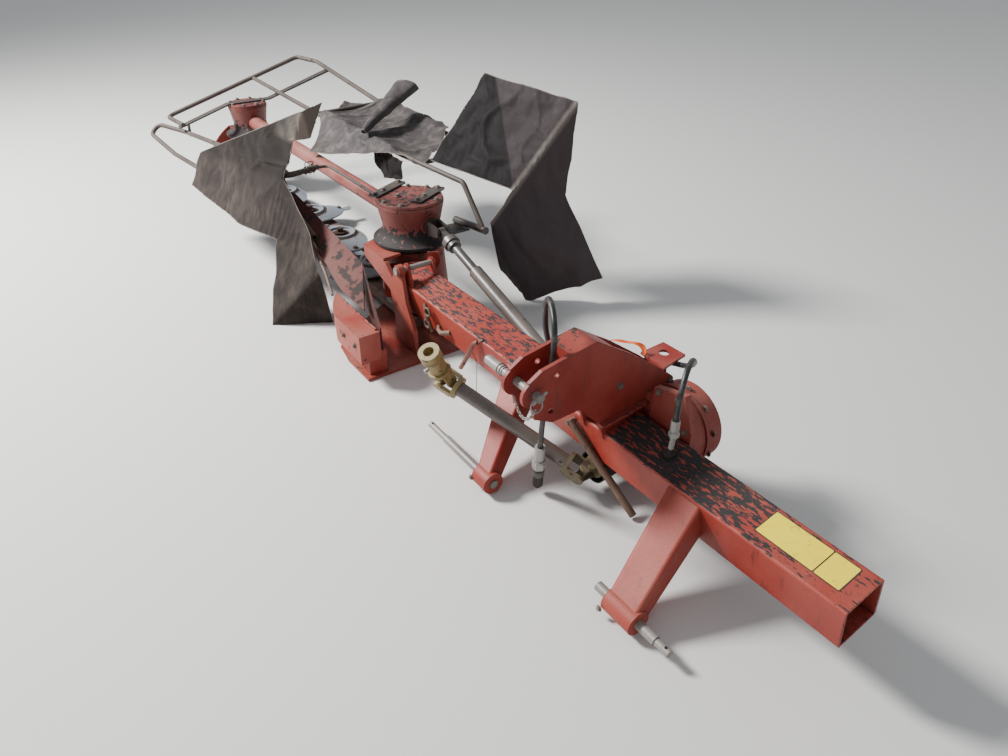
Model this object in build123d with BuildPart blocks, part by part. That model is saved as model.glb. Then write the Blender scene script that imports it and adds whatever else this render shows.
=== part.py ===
from build123d import *
from math import atan2, cos, degrees, hypot, radians, sin, tan
import os

# A side-mounted disc mower for a three-point hitch, parked on the ground beside its tractor's place.
# +X runs from the hitch end to the outer end of the cutter bar, +Y is the way it travels, +Z is up.
# Millimetres. The origin is on the ground, under the middle of the whole machine.

os.makedirs("parts", exist_ok=True)

# Driving dimensions of the frame beam, a square box tube that lies tipped on its lower hitch pins.
beam_size = 140.0
beam_wall = 8.0
beam_corner = 9.0
frame_tilt = 10.9
running = 0.3
beam_open_x = -2260.0
beam_corner_x = -91.0
beam_y = 172.0
beam_z = 227.5

# Three-point hitch.
lower_pin_r = 14.0
lower_pin_neck_r = 11.0
lower_pin_y = 488.0
lower_pin_z = 43.0
boss_r = 36.0
mast_near_x = -1469.0
mast_gap = 71.0
mast_plate = 12.0
top_pin_r = 12.5
top_pin_y = 509.0
top_pin_z = 519.0

# Cutter bar, its six discs and the two heads on the end discs.
disc_pitch = 399.0
disc_count = 6
disc_x = -29.0
disc_y = 75.0
case_low = 12.0
case_high = 55.0
case_front = 115.0
case_rear = 115.0
disc_low = 76.0
disc_edge = 8.0
disc_long = 190.0
disc_short = 124.0
blade_tip = 248.0
hub_top = 139.0
drum_low_r = 145.0
drum_high_r = 130.0
drum_top = 335.0
flange_low = 355.0
head_top = 540.0

# Hinge on which the cutter bar lifts.
hinge_x = -279.0
hinge_z = 350.0
hinge_pin_r = 11.0
ear_plate = 10.0

# Shaft from the frame's bevel case to the near head.
shaft_y = 55.0
shaft_low = (-1290.0, 107.0)
shaft_high = (-244.0, 450.0)
shaft_tube_r = 27.0
shaft_rod_r = 18.0
shaft_gap = 260.0

near_x = disc_x
far_x = disc_x + (disc_count - 1) * disc_pitch
mast_far_x = mast_near_x + mast_plate + mast_gap
cos_tilt = cos(radians(frame_tilt))
sin_tilt = sin(radians(frame_tilt))


def beam_plane(x):
    """Plane across the beam at x: local x is forward, local y is up, both tipped with the frame."""
    return Plane(origin=(x, beam_y, beam_z), x_dir=(0, cos_tilt, -sin_tilt), z_dir=(1, 0, 0))


def on_beam(forward, up):
    """Row coordinates y and z of a point given in the tipped frame's own two directions."""
    return (
        beam_y + forward * cos_tilt + up * sin_tilt,
        beam_z - forward * sin_tilt + up * cos_tilt,
    )


def across(x):
    """Upright plane across the machine at x: local x is +Y and local y is +Z."""
    return Plane(origin=(x, 0, 0), x_dir=(0, 1, 0), z_dir=(1, 0, 0))


def along(y):
    """Upright plane along the machine at y, facing -Y: local x is +X and local y is +Z."""
    return Plane(origin=(0, y, 0), x_dir=(1, 0, 0), z_dir=(0, -1, 0))


def between(start, end):
    """Plane at start that looks towards end."""
    return Plane(origin=start, z_dir=Vector(*end) - Vector(*start))


def rod(start, end, radius):
    """A round bar from start to end."""
    with BuildPart() as bar:
        with BuildSketch(between(start, end)):
            Circle(radius)
        extrude(amount=(Vector(*end) - Vector(*start)).length)
    return bar.part


def bend_radii(points, most):
    """Radius of each bend: the one given, or less where a short run beside it leaves less room."""
    radii = []
    for before, corner, after in zip(points, points[1:], points[2:]):
        run_in = Vector(*corner) - Vector(*before)
        run_out = Vector(*after) - Vector(*corner)
        half_turn = radians(run_in.get_angle(run_out)) / 2
        radii.append(min(most, 0.45 * min(run_in.length, run_out.length) / tan(half_turn)))
    return radii


def bent_tube(points, bend, radius):
    """A round tube through the points."""
    with BuildPart() as tube:
        with BuildLine() as path:
            FilletPolyline(*points, radius=bend_radii(points, bend))
        with BuildSketch(Plane(origin=path.line @ 0, z_dir=path.line % 0)):
            Circle(radius)
        sweep()
    return tube.part


def sheet(points, thick):
    """A flat sheet whose outline runs through the points, which lie in one plane."""
    corner, second, last = Vector(*points[0]), Vector(*points[1]), Vector(*points[-1])
    normal = (second - corner).cross(last - corner).normalized()
    flat = Plane(origin=corner, x_dir=second - corner, z_dir=normal)
    with BuildPart() as panel:
        with BuildSketch(flat):
            Polygon(*[tuple(flat.to_local_coords(Vector(*p)))[:2] for p in points], align=None)
        extrude(amount=thick / 2, both=True)
    return panel.part


# Frame beam: a square tube, open at the hitch end and mitred at the cutter bar end.
beam_half = beam_size / 2
beam_corner_y = on_beam(beam_half, beam_half)[0]
mitre = Plane(origin=(beam_corner_x, beam_corner_y, 0), x_dir=(1, 1, 0), z_dir=(1, -1, 0))
beam_run = beam_corner_x - beam_open_x
hose_hole_x = -1662.0
hose_hole_r = 15.0
with BuildPart() as beam_block:
    with BuildSketch(beam_plane(beam_open_x)):
        RectangleRounded(beam_size, beam_size, beam_corner)
    extrude(amount=beam_run)
    split(bisect_by=mitre, keep=Keep.BOTTOM)
with BuildPart() as main_beam:
    add(beam_block.part)
    with BuildSketch(beam_plane(beam_open_x)):
        Rectangle(beam_size - 2 * beam_wall, beam_size - 2 * beam_wall)
    extrude(amount=beam_run, mode=Mode.SUBTRACT)
    with BuildSketch(Plane(origin=(hose_hole_x, *on_beam(0, beam_half)), z_dir=(0, sin_tilt, cos_tilt))):
        Circle(hose_hole_r)
    extrude(amount=-2 * beam_wall, mode=Mode.SUBTRACT)
main_beam.part.label = "main_beam"

# Mitred end plate, with its rear ear.
end_plate = 10.0
end_plate_front = 3.0
end_plate_rear = -246.0
end_plate_low = 150.0
ear_hole_r = 9.0
with BuildPart() as beam_end_plate:
    with BuildSketch(mitre):
        with BuildLine():
            Polyline(
                (end_plate_front, end_plate_low),
                (end_plate_front, 298),
                (-120, 318),
                (-185, 326),
                (-192, 370),
                (-240, 374),
                (end_plate_rear, 335),
                (-228, 290),
                (-190, end_plate_low),
                close=True,
            )
        make_face()
        with Locations((-216, 333)):
            Circle(ear_hole_r, mode=Mode.SUBTRACT)
    extrude(amount=end_plate)
beam_end_plate.part.label = "beam_end_plate"

# Hinge ears, welded on the beam's top, and the pin through them and the lift arm.
ear_r = 22.0
rear_ear_y = 124.0
front_ear_y = 236.0
ear_foot = 50.0
arm_y = 262.0
arm_plate = 16.0
arm_boss = 24.0
with BuildPart() as hinge_ears:
    for ear_y in (rear_ear_y, front_ear_y):
        with BuildSketch(along(ear_y + ear_plate)):
            with Locations((hinge_x, hinge_z)):
                Circle(ear_r)
            with BuildLine():
                Polyline(
                    (hinge_x - ear_r, hinge_z),
                    (hinge_x - ear_foot, hinge_z - 90),
                    (hinge_x + ear_foot, hinge_z - 90),
                    (hinge_x + ear_r, hinge_z),
                    close=True,
                )
            make_face()
            with Locations((hinge_x, hinge_z)):
                Circle(hinge_pin_r, mode=Mode.SUBTRACT)
        extrude(amount=ear_plate)
    add(beam_block.part, mode=Mode.SUBTRACT)
hinge_ears.part.label = "hinge_ears"

pin_head = 8.0
pin_rear_y = rear_ear_y - pin_head
pin_front_y = arm_y + arm_boss + pin_head
with BuildPart() as hinge_pin:
    with BuildSketch(along(pin_front_y)):
        with Locations((hinge_x, hinge_z)):
            Circle(hinge_pin_r)
    extrude(amount=pin_front_y - pin_rear_y)
    with BuildSketch(along(pin_front_y)):
        with Locations((hinge_x, hinge_z)):
            Circle(hinge_pin_r + 5)
    extrude(amount=pin_head - running)
hinge_pin.part.label = "hinge_pin"

# Hitch legs: pressed boxes that slant from the beam's front face to the pin bosses.
leg_rows = (
    # name, x at the beam, width at the beam, boss centre x, boss width
    ("right_hitch_leg", -1784.0, 116.0, -1840.0, 104.0),
    ("left_hitch_leg", -1036.0, 124.0, -1205.0, 70.0),
)
leg_root_half = 60.0
leg_foot_half = 31.0
leg_corner = 12.0
legs = {}
for name, root_x, root_width, boss_x, boss_width in leg_rows:
    front_y, front_z = on_beam(beam_half, 0)
    root = Plane(origin=(root_x, front_y, front_z), x_dir=(1, 0, 0), z_dir=(0, cos_tilt, -sin_tilt))
    foot = Plane(
        origin=(boss_x, lower_pin_y, lower_pin_z),
        x_dir=(1, 0, 0),
        z_dir=(0, lower_pin_y - front_y, lower_pin_z - front_z),
    )
    with BuildPart() as leg:
        with BuildSketch(root):
            RectangleRounded(root_width, 2 * leg_root_half, leg_corner)
        with BuildSketch(foot):
            RectangleRounded(boss_width, 2 * leg_foot_half, leg_corner)
        loft()
        with BuildSketch(across(boss_x - boss_width / 2)):
            with Locations((lower_pin_y, lower_pin_z)):
                Circle(boss_r)
        extrude(amount=boss_width)
        with BuildSketch(across(boss_x - boss_width)):
            with Locations((lower_pin_y, lower_pin_z)):
                Circle(lower_pin_r)
        extrude(amount=2 * boss_width, mode=Mode.SUBTRACT)
        add(beam_block.part, mode=Mode.SUBTRACT)
    leg.part.label = name
    legs[name] = leg

# Lower hitch pins: a thick root in the boss, a shoulder, and a thinner end with a hole across it.
pin_rows = (
    # thick end x, shoulder x, thin tip x
    (-1738.0, -1955.0, -2002.0),
    (-1246.0, -960.0, -856.0),
)
pin_hole_back = 14.0
with BuildPart() as lower_pins:
    for thick_x, shoulder_x, tip_x in pin_rows:
        way = 1 if tip_x > thick_x else -1
        with BuildSketch(across(thick_x)):
            with Locations((lower_pin_y, lower_pin_z)):
                Circle(lower_pin_r)
        extrude(amount=shoulder_x - thick_x)
        with BuildSketch(across(shoulder_x)):
            with Locations((lower_pin_y, lower_pin_z)):
                Circle(lower_pin_neck_r)
        extrude(amount=tip_x - shoulder_x)
        with BuildSketch(Plane.XY.offset(lower_pin_z - 2 * lower_pin_r)):
            with Locations((tip_x - way * pin_hole_back, lower_pin_y)):
                Circle(4.5)
        extrude(amount=4 * lower_pin_r, mode=Mode.SUBTRACT)
lower_pins.part.label = "lower_pins"

# Mast: two lobed plates that lean forward over the beam, tied by a folded cap behind the top link.
mast_outline = (
    # y, z round the plate: rear boss, top edge, front lobe, underside, front foot
    (-10, 385),
    (47, 432),
    (177, 528),
    (308, 611),
    (394, 599),
    (489, 584),
    (530, 560),
    (511, 441),
    (449, 407),
    (356, 409),
    (274, 325),
    (254, 262),
    (110, 262),
    (0, 355),
)
lobe_r = 42.0
rear_boss = (2.0, 372.0)
rear_boss_r = 17.0
foot_strip = 14.0
cap_fold = 58.0
with BuildPart() as mast:
    for plate_x in (mast_near_x, mast_far_x):
        with BuildSketch(across(plate_x)):
            Polygon(*mast_outline, align=None)
            with Locations((top_pin_y, top_pin_z)):
                Circle(lobe_r)
            with Locations(rear_boss):
                Circle(rear_boss_r)
            with Locations((top_pin_y, top_pin_z)):
                Circle(top_pin_r, mode=Mode.SUBTRACT)
            with Locations((441, 556), (455, 448)):
                Circle(9, mode=Mode.SUBTRACT)
            with Locations((209, 432), rear_boss):
                Circle(8, mode=Mode.SUBTRACT)
        extrude(amount=mast_plate)
    with BuildSketch(across(mast_near_x + mast_plate)):
        Polygon(
            (238, 567),
            (308, 611),
            (394, 599),
            (392, 599 - cap_fold),
            (382, 599 - cap_fold),
            (382, 590),
            (312, 600),
            (244, 557),
            align=None,
        )
    extrude(amount=mast_gap)
    with BuildSketch(across(mast_near_x - foot_strip)):
        Polygon((10, 343), (274, 317), (274, 326), (10, 352), align=None)
    extrude(amount=foot_strip)
    add(beam_block.part, mode=Mode.SUBTRACT)
mast.part.label = "mast"

# Top link pin, with the collar and the grip that stick out beyond the far plate.
grip_start_x = -1332.0
grip_end_x = -1250.0
with BuildPart() as top_link_pin:
    with BuildSketch(across(mast_near_x - 24)):
        with Locations((top_pin_y, top_pin_z)):
            Circle(top_pin_r)
    extrude(amount=grip_end_x - mast_near_x + 24)
    for collar_x, collar_end, collar_r in (
        (mast_far_x + mast_plate, mast_far_x + mast_plate + 10, top_pin_r + 5),
        (grip_start_x, grip_end_x - 4, top_pin_r + 2),
    ):
        with BuildSketch(across(collar_x)):
            with Locations((top_pin_y, top_pin_z)):
                Circle(collar_r)
        extrude(amount=collar_end - collar_x)
top_link_pin.part.label = "top_link_pin"

# Bevel case behind the beam: a round upper drum, a lower one that carries both shafts, a seam between
# its halves, a mounting plate and a lug on top, and the input housing under the beam.
case_x = -1539.0
case_z = 262.0
case_r = 124.0
drive_x = -1400.0
drive_z = 92.0
drive_r = 78.0
case_rear_y = -32.0
case_front_y = 96.0
seam_y = 22.0
seam_rim = 5.0
mount_plate = 12.0
lug_z = 419.0
lug_plate = 8.0
lug_hole = (-1406.0, -32.0)
pto_inner_y = 262.0
yoke_reach = 46.0
yoke_hub = 14.0
housing_r = 38.0
housing_front_y = pto_inner_y - yoke_reach - yoke_hub
guard_base_r = 47.0
guard_rear_y = case_front_y + 14
case_way = atan2(drive_z - case_z, drive_x - case_x)
side_x, side_z = -sin(case_way), cos(case_way)
with BuildPart() as drive_case:
    for front_y, depth, rim in ((case_front_y, case_front_y - case_rear_y, 0.0), (seam_y + 12, 12, seam_rim)):
        with BuildSketch(along(front_y)):
            with Locations((case_x, case_z)):
                Circle(case_r + rim)
            with Locations((drive_x, drive_z)):
                Circle(drive_r + rim)
            with BuildLine():
                Polyline(
                    (case_x + side_x * case_r * 0.95, case_z + side_z * case_r * 0.95),
                    (drive_x + side_x * drive_r, drive_z + side_z * drive_r),
                    (drive_x - side_x * drive_r, drive_z - side_z * drive_r),
                    (case_x - side_x * case_r * 0.95, case_z - side_z * case_r * 0.95),
                    close=True,
                )
            make_face()
        extrude(amount=depth)
    with BuildSketch(along(case_front_y + mount_plate)):
        Polygon(
            (case_x - case_r, case_z),
            (case_x - case_r, 330),
            (case_x - 84, 440),
            (case_x + 30, 412),
            (case_x + 40, case_z),
            align=None,
        )
    extrude(amount=mount_plate + 10)
    with BuildSketch(along(seam_y)):
        Polygon(
            (lug_hole[0] - 58, case_z),
            (lug_hole[0] - 58, lug_z),
            (lug_hole[0] + 30, lug_z),
            (drive_x, case_z),
            align=None,
        )
    extrude(amount=lug_plate)
    with BuildSketch(Plane.XY.offset(lug_z)):
        Polygon((-1469, 34), (-1451, -77), (-1359, -76), (-1362, 24), align=None)
        with Locations(lug_hole):
            Circle(16, mode=Mode.SUBTRACT)
    extrude(amount=lug_plate)
    for radius, front_y in ((housing_r, housing_front_y), (guard_base_r + 4, guard_rear_y)):
        with BuildSketch(along(front_y)):
            with Locations((drive_x, drive_z)):
                Circle(radius)
        extrude(amount=front_y - case_front_y)
    add(beam_block.part, mode=Mode.SUBTRACT)
    add(mast.part, mode=Mode.SUBTRACT)
drive_case.part.label = "drive_case"

# Black guard cup round the input housing's front end.
guard_mouth_r = 54.0
guard_wall = 3.5
guard_front_y = housing_front_y + 18
with BuildPart() as input_guard:
    with BuildSketch(Plane(origin=(drive_x, 0, drive_z), x_dir=(0, 1, 0), z_dir=(0, 0, 1))):
        Polygon(
            (guard_rear_y, -housing_r - running),
            (guard_rear_y, -guard_base_r),
            (guard_front_y, -guard_mouth_r),
            (guard_front_y, guard_wall - guard_mouth_r),
            (guard_rear_y + guard_wall, guard_wall - guard_base_r),
            (guard_rear_y + guard_wall, -housing_r - running),
            align=None,
        )
    revolve(axis=Axis((drive_x, 0, drive_z), (0, 1, 0)))
    add(beam_block.part, mode=Mode.SUBTRACT)
input_guard.part.label = "input_guard"

# Each disc, hub up: an oval dish with a raised ring, a hub cone and two blades hung under its ends.
ring_r = 76.0
dish_top = 108.0
rotors = {}
for index in range(disc_count):
    centre_x = disc_x + index * disc_pitch
    turn = 90.0 * (index % 2)
    with BuildPart() as rotor:
        with BuildSketch(Plane(origin=(centre_x, disc_y, disc_low)).rotated((0, 0, turn))):
            Ellipse(disc_long, disc_short)
        extrude(amount=disc_edge)
        with BuildSketch(Plane(origin=(centre_x, disc_y, disc_low + disc_edge)).rotated((0, 0, turn))):
            Ellipse(disc_long - 4, disc_short - 4)
        with BuildSketch(Plane(origin=(centre_x, disc_y, dish_top)).rotated((0, 0, turn))):
            Ellipse(ring_r + 20, ring_r + 10)
        loft()
        with BuildSketch(Plane(origin=(centre_x, disc_y, dish_top))):
            Circle(ring_r)
            Circle(ring_r - 12, mode=Mode.SUBTRACT)
            Circle(30)
        extrude(amount=10)
        with BuildSketch(Plane(origin=(centre_x, disc_y, dish_top + 10))):
            RegularPolygon(17, 6)
        extrude(amount=hub_top - dish_top - 10)
        for side in (0, 180):
            arm = Plane(origin=(centre_x, disc_y, disc_low)).rotated((0, 0, turn + side))
            with BuildSketch(arm.offset(-4)):
                Polygon(
                    (140, -22),
                    (blade_tip - 14, -22),
                    (blade_tip, 4),
                    (blade_tip - 6, 22),
                    (140, 22),
                    align=None,
                )
            extrude(amount=4)
        with BuildSketch(Plane(origin=(centre_x, disc_y, case_high + 15.3))):
            Circle(30)
        extrude(amount=disc_low - case_high - 15.3)
    rotor.part.label = f"disc_{index + 1}"
    rotors[rotor.part.label] = rotor

# Drums: sheet cones bolted on the first and the last disc.
drum_wall = 5.0
drums = {}
for name, index in (("near_drum", 0), ("far_drum", disc_count - 1)):
    centre_x = disc_x + index * disc_pitch
    with BuildPart() as drum:
        with BuildSketch(Plane(origin=(centre_x, disc_y, 0), x_dir=(1, 0, 0), z_dir=(0, -1, 0))):
            Polygon(
                (0, hub_top + 2),
                (drum_low_r, hub_top + 2),
                (drum_high_r, drum_top),
                (0, drum_top),
                align=None,
            )
        revolve(axis=Axis((centre_x, disc_y, 0), (0, 0, 1)))
        with BuildSketch(Plane(origin=(centre_x, disc_y, dish_top))):
            Circle(96)
            Circle(78, mode=Mode.SUBTRACT)
        extrude(amount=hub_top + 2 - dish_top)
    drum.part.label = name
    drums[name] = drum

# Gear case: the flat box that carries the six discs, with a bearing boss under each.
case_start = disc_x - 150
case_end = disc_x + (disc_count - 1) * disc_pitch + 190
with BuildPart() as gear_case:
    with BuildSketch(across(case_start)):
        Polygon(
            (disc_y - case_rear, case_low),
            (disc_y + case_front - 20, case_low),
            (disc_y + case_front, case_low + 14),
            (disc_y + case_front - 24, case_high),
            (disc_y - case_rear + 12, case_high),
            (disc_y - case_rear, case_high - 12),
            align=None,
        )
    extrude(amount=case_end - case_start)
    for index in range(disc_count):
        with BuildSketch(Plane(origin=(disc_x + index * disc_pitch, disc_y, case_high))):
            Circle(46)
        extrude(amount=15)
gear_case.part.label = "gear_case"

# Skid shoes under the bar, one below each disc from the second to the fifth.
skid_width = 250.0
with BuildPart() as skid_shoes:
    for index in range(1, disc_count - 1):
        with BuildSketch(across(disc_x + index * disc_pitch - skid_width / 2)):
            Polygon(
                (disc_y - case_rear, 0),
                (disc_y + case_front, 0),
                (disc_y + case_front + 34, 26),
                (disc_y + case_front + 28, 34),
                (disc_y + case_front - 4, case_low),
                (disc_y - case_rear, case_low),
                align=None,
            )
        extrude(amount=skid_width)
    add(gear_case.part, mode=Mode.SUBTRACT)
skid_shoes.part.label = "skid_shoes"

# Lift arm: a thick plate in front of the beam, from the hinge boss down to the inner shoe, with the
# shelf that carries the near head.
arm_top = 343.0
arm_neck = 20.0
shelf_depth = flange_low - arm_top
with BuildPart() as lift_arm:
    with BuildSketch(along(arm_y + arm_plate)):
        Polygon(
            (-372, 12),
            (-372, 120),
            (-322, 217),
            (hinge_x - arm_neck, hinge_z - 20),
            (hinge_x + arm_neck, hinge_z + 6),
            (-215, 296),
            (-165, arm_top),
            (30, arm_top),
            (30, 305),
            (-190, 232),
            (-212, 114),
            (-212, 12),
            align=None,
        )
        with Locations((hinge_x, hinge_z)):
            Circle(arm_boss)
        with Locations((hinge_x, hinge_z)):
            Circle(hinge_pin_r + running, mode=Mode.SUBTRACT)
    extrude(amount=arm_plate)
    with BuildSketch(along(arm_y + arm_boss)):
        with Locations((hinge_x, hinge_z)):
            Circle(arm_boss)
            Circle(hinge_pin_r + running, mode=Mode.SUBTRACT)
    extrude(amount=arm_boss)
    with BuildSketch(Plane.XY.offset(arm_top)):
        Polygon(
            (-150, arm_y),
            (-150, arm_y + arm_plate),
            (30, arm_y + arm_plate),
            (70, disc_y + 120),
            (20, disc_y + 90),
            (-80, disc_y + 90),
            (-142, disc_y + 118),
            align=None,
        )
    extrude(amount=shelf_depth)
lift_arm.part.label = "lift_arm"

# Inner shoe: a welded box with a flat top and a blunt nose, on a thin web over the sole.
shoe_rear = 462.0
shoe_front = 548.0
shoe_in = -448.0
shoe_out = -50.0
shoe_top = 214.0
shoe_low = 96.0
web_front = 500.0
sole_out = 100.0
with BuildPart() as inner_shoe:
    with BuildSketch(Plane.XY.offset(shoe_low)):
        with BuildLine():
            Polyline(
                (shoe_out, shoe_rear - 7),
                (shoe_in, shoe_rear),
                (shoe_in, shoe_front),
                (-228, shoe_front - 3),
            )
            ThreePointArc((-228, shoe_front - 3), (-125, 505), (shoe_out, shoe_rear - 7))
        make_face()
    extrude(amount=shoe_top - shoe_low)
    with BuildSketch(Plane.XY.offset(case_low)):
        Polygon(
            (shoe_in + 40, shoe_rear - 40),
            (shoe_out - 60, shoe_rear - 40),
            (shoe_out - 60, web_front - 30),
            (shoe_in + 40, web_front),
            align=None,
        )
    extrude(amount=shoe_low - case_low)
    with BuildSketch(Plane.XY.offset(shoe_low)):
        Polygon(
            (shoe_in + 40, shoe_rear - 40),
            (shoe_out - 60, shoe_rear - 40),
            (shoe_out - 60, shoe_rear),
            (shoe_in + 40, shoe_rear),
            align=None,
        )
    extrude(amount=shelf_depth)
    with BuildSketch(Plane.XY):
        Polygon(
            (shoe_in + 20, web_front + 20),
            (shoe_in + 20, disc_y),
            (-250, disc_y - case_rear),
            (sole_out, disc_y - case_rear),
            (sole_out, disc_y + case_front),
            (shoe_out, shoe_rear - 40),
            (-130, web_front),
            (-250, web_front + 20),
            align=None,
        )
    extrude(amount=case_low)
inner_shoe.part.label = "inner_shoe"

# Outer shoe: sole and upright plate at the far end, which carries the far head.
outer_x = far_x + 256
outer_plate = 12.0
outer_sole = 376.0
with BuildPart() as outer_shoe:
    with BuildSketch(Plane.XY):
        Polygon(
            (outer_x - outer_sole, disc_y - 120),
            (outer_x + outer_plate, disc_y - 120),
            (outer_x + outer_plate, disc_y + 210),
            (outer_x - outer_sole, disc_y + 210),
            align=None,
        )
    extrude(amount=case_low)
    with BuildSketch(across(outer_x)):
        with BuildLine():
            Polyline((disc_y - 120, case_low), (disc_y + 210, case_low), (disc_y + 240, 60))
            ThreePointArc((disc_y + 240, 60), (disc_y + 190, 230), (disc_y + 60, flange_low))
            Polyline((disc_y + 60, flange_low), (disc_y - 60, flange_low), (disc_y - 120, case_low))
        make_face()
    extrude(amount=outer_plate)
    with BuildSketch(Plane.XY.offset(arm_top)):
        Polygon(
            (outer_x, disc_y - 58),
            (outer_x, disc_y + 58),
            (outer_x - 130, disc_y + 90),
            (outer_x - 130, disc_y - 90),
            align=None,
        )
    extrude(amount=shelf_depth)
outer_shoe.part.label = "outer_shoe"

# Heads: cast bevel cases with a flared foot, a waist and a bolted lid.
head_rows = (
    # name, centre x, lid radius, waist radius, foot radius
    ("near_gearbox", near_x, 141.0, 122.0, 165.0),
    ("far_gearbox", far_x, 112.0, 96.0, 150.0),
)
lid = 12.0
lid_step = 3.0
boss_start = shaft_high[0] + 76
heads = {}
for name, centre_x, lid_r, waist_r, foot_r in head_rows:
    with BuildPart() as head:
        with BuildSketch(Plane(origin=(centre_x, disc_y, 0), x_dir=(1, 0, 0), z_dir=(0, -1, 0))):
            with BuildLine():
                Polyline(
                    (0, drum_top + running),
                    (26, drum_top + running),
                    (26, flange_low),
                    (foot_r - 6, flange_low),
                    (foot_r, flange_low + 6),
                    (foot_r, flange_low + 16),
                )
                ThreePointArc(
                    (foot_r, flange_low + 16),
                    (waist_r + 14, flange_low + 36),
                    (waist_r, flange_low + 78),
                )
                Polyline(
                    (waist_r, flange_low + 78),
                    (lid_r - 4, head_top - 40),
                    (lid_r, head_top - 24),
                    (lid_r, head_top - lid),
                    (lid_r - lid_step, head_top - lid),
                    (lid_r - lid_step, head_top - 2),
                    (lid_r - 2 * lid_step, head_top),
                    (0, head_top),
                    (0, drum_top + running),
                )
            make_face()
        revolve(axis=Axis((centre_x, disc_y, 0), (0, 0, 1)))
        if centre_x == near_x:
            with BuildSketch(across(boss_start)):
                with Locations((shaft_y, shaft_high[1])):
                    Circle(46)
            extrude(until=Until.NEXT)
    head.part.label = name
    heads[name] = head

# Fork on the near head's input shaft; the shaft's eye turns between its two ears.
fork_gap = 38.0
fork_ear = 11.0
with BuildPart() as head_fork:
    with BuildSketch(across(shaft_high[0] + 60)):
        with Locations((shaft_y, shaft_high[1])):
            Circle(36)
    extrude(amount=16)
    for side in (-1, 1):
        ear_start = shaft_y + side * (fork_gap / 2) + (fork_ear if side > 0 else 0)
        with BuildSketch(along(ear_start)):
            with Locations((shaft_high[0], shaft_high[1])):
                Circle(20)
            with BuildLine():
                Polyline(
                    (shaft_high[0], shaft_high[1] - 20),
                    (shaft_high[0] + 60, shaft_high[1] - 28),
                    (shaft_high[0] + 60, shaft_high[1] + 28),
                    (shaft_high[0], shaft_high[1] + 20),
                    close=True,
                )
            make_face()
        extrude(amount=fork_ear)
head_fork.part.label = "head_fork"

# Telescoping shaft: the tube turns in the bevel case, the rod slides in it as the bar lifts.
shaft_start = Vector(shaft_low[0], shaft_y, shaft_low[1])
shaft_end = Vector(shaft_high[0], shaft_y, shaft_high[1])
shaft_way = (shaft_end - shaft_start).normalized()
shaft_length = (shaft_end - shaft_start).length


def on_shaft(back):
    """Plane across the shaft, looking down it from the head, at a distance back from the head's joint."""
    return Plane(origin=shaft_end - shaft_way * back, x_dir=(0, 1, 0), z_dir=shaft_way * -1)


rod_end = shaft_length - 120
with BuildPart() as shaft_tube:
    with BuildSketch(on_shaft(shaft_gap)):
        Circle(shaft_tube_r)
    extrude(amount=shaft_length - shaft_gap + 60)
    with BuildSketch(on_shaft(shaft_gap)):
        Circle(shaft_rod_r + running)
    extrude(amount=shaft_length - shaft_gap - 60, mode=Mode.SUBTRACT)
    add(drive_case.part, mode=Mode.SUBTRACT)
    add(beam_block.part, mode=Mode.SUBTRACT)
shaft_tube.part.label = "shaft_tube"

with BuildPart() as shaft_slider:
    with BuildSketch(along(shaft_y + 13)):
        with Locations((shaft_high[0], shaft_high[1])):
            Circle(17)
    extrude(amount=26)
    with BuildSketch(on_shaft(0)):
        Rectangle(26, 24)
    extrude(amount=64)
    with BuildSketch(on_shaft(62)):
        Circle(34)
    extrude(amount=26)
    with BuildSketch(on_shaft(88)):
        Circle(28)
    extrude(amount=20)
    with BuildSketch(on_shaft(108)):
        Circle(shaft_rod_r)
    extrude(amount=shaft_length - 108 - 240)
shaft_slider.part.label = "shaft_slider"

# Top tube between the two heads.
tube_r = 37.0
tube_z = 437.0
with BuildPart() as top_tube:
    with BuildSketch(across(near_x + head_rows[0][3] - 20)):
        with Locations((disc_y, tube_z)):
            Circle(tube_r)
    extrude(amount=far_x - near_x - head_rows[0][3] - head_rows[1][3] + 40)
    for head in heads.values():
        add(head.part, mode=Mode.SUBTRACT)
top_tube.part.label = "top_tube"

# Front cover: a long tapered plate that rises from the inner shoe towards the outer end.
cover_thick = 5.0
cover_corner = Vector(-268, 435, 216)
cover_climb = 0.158
cover_slant = -0.70


def cover_point(x, y, lift=0.0):
    """A point of the cover's plane under x and y, lifted off along the plane's own normal."""
    up = Vector(-cover_climb, -cover_slant, 1).normalized()
    rise = cover_climb * (x - cover_corner.X) + cover_slant * (y - cover_corner.Y)
    return Vector(x, y, cover_corner.Z + rise) + up * lift


cover_outline = (
    # x, y from the shoe's end along the swath side and back along the discs
    (-268, 435),
    (-90, 448),
    (-20, 443),
    (300, 402),
    (691, 362),
    (601, 337),
    (-69, 334),
)
gusset_foot = (-425, 446)
gusset_head = (-69, 336)
with BuildPart() as front_cover:
    add(sheet([tuple(cover_point(*p)) for p in cover_outline], cover_thick))
    add(
        sheet(
            [
                (*gusset_foot, shoe_low + 20),
                (*gusset_head, shoe_low + 20),
                tuple(cover_point(*gusset_head)),
                (*gusset_foot, shoe_top),
            ],
            cover_thick,
        )
    )
    add(inner_shoe.part, mode=Mode.SUBTRACT)
front_cover.part.label = "front_cover"

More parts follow.
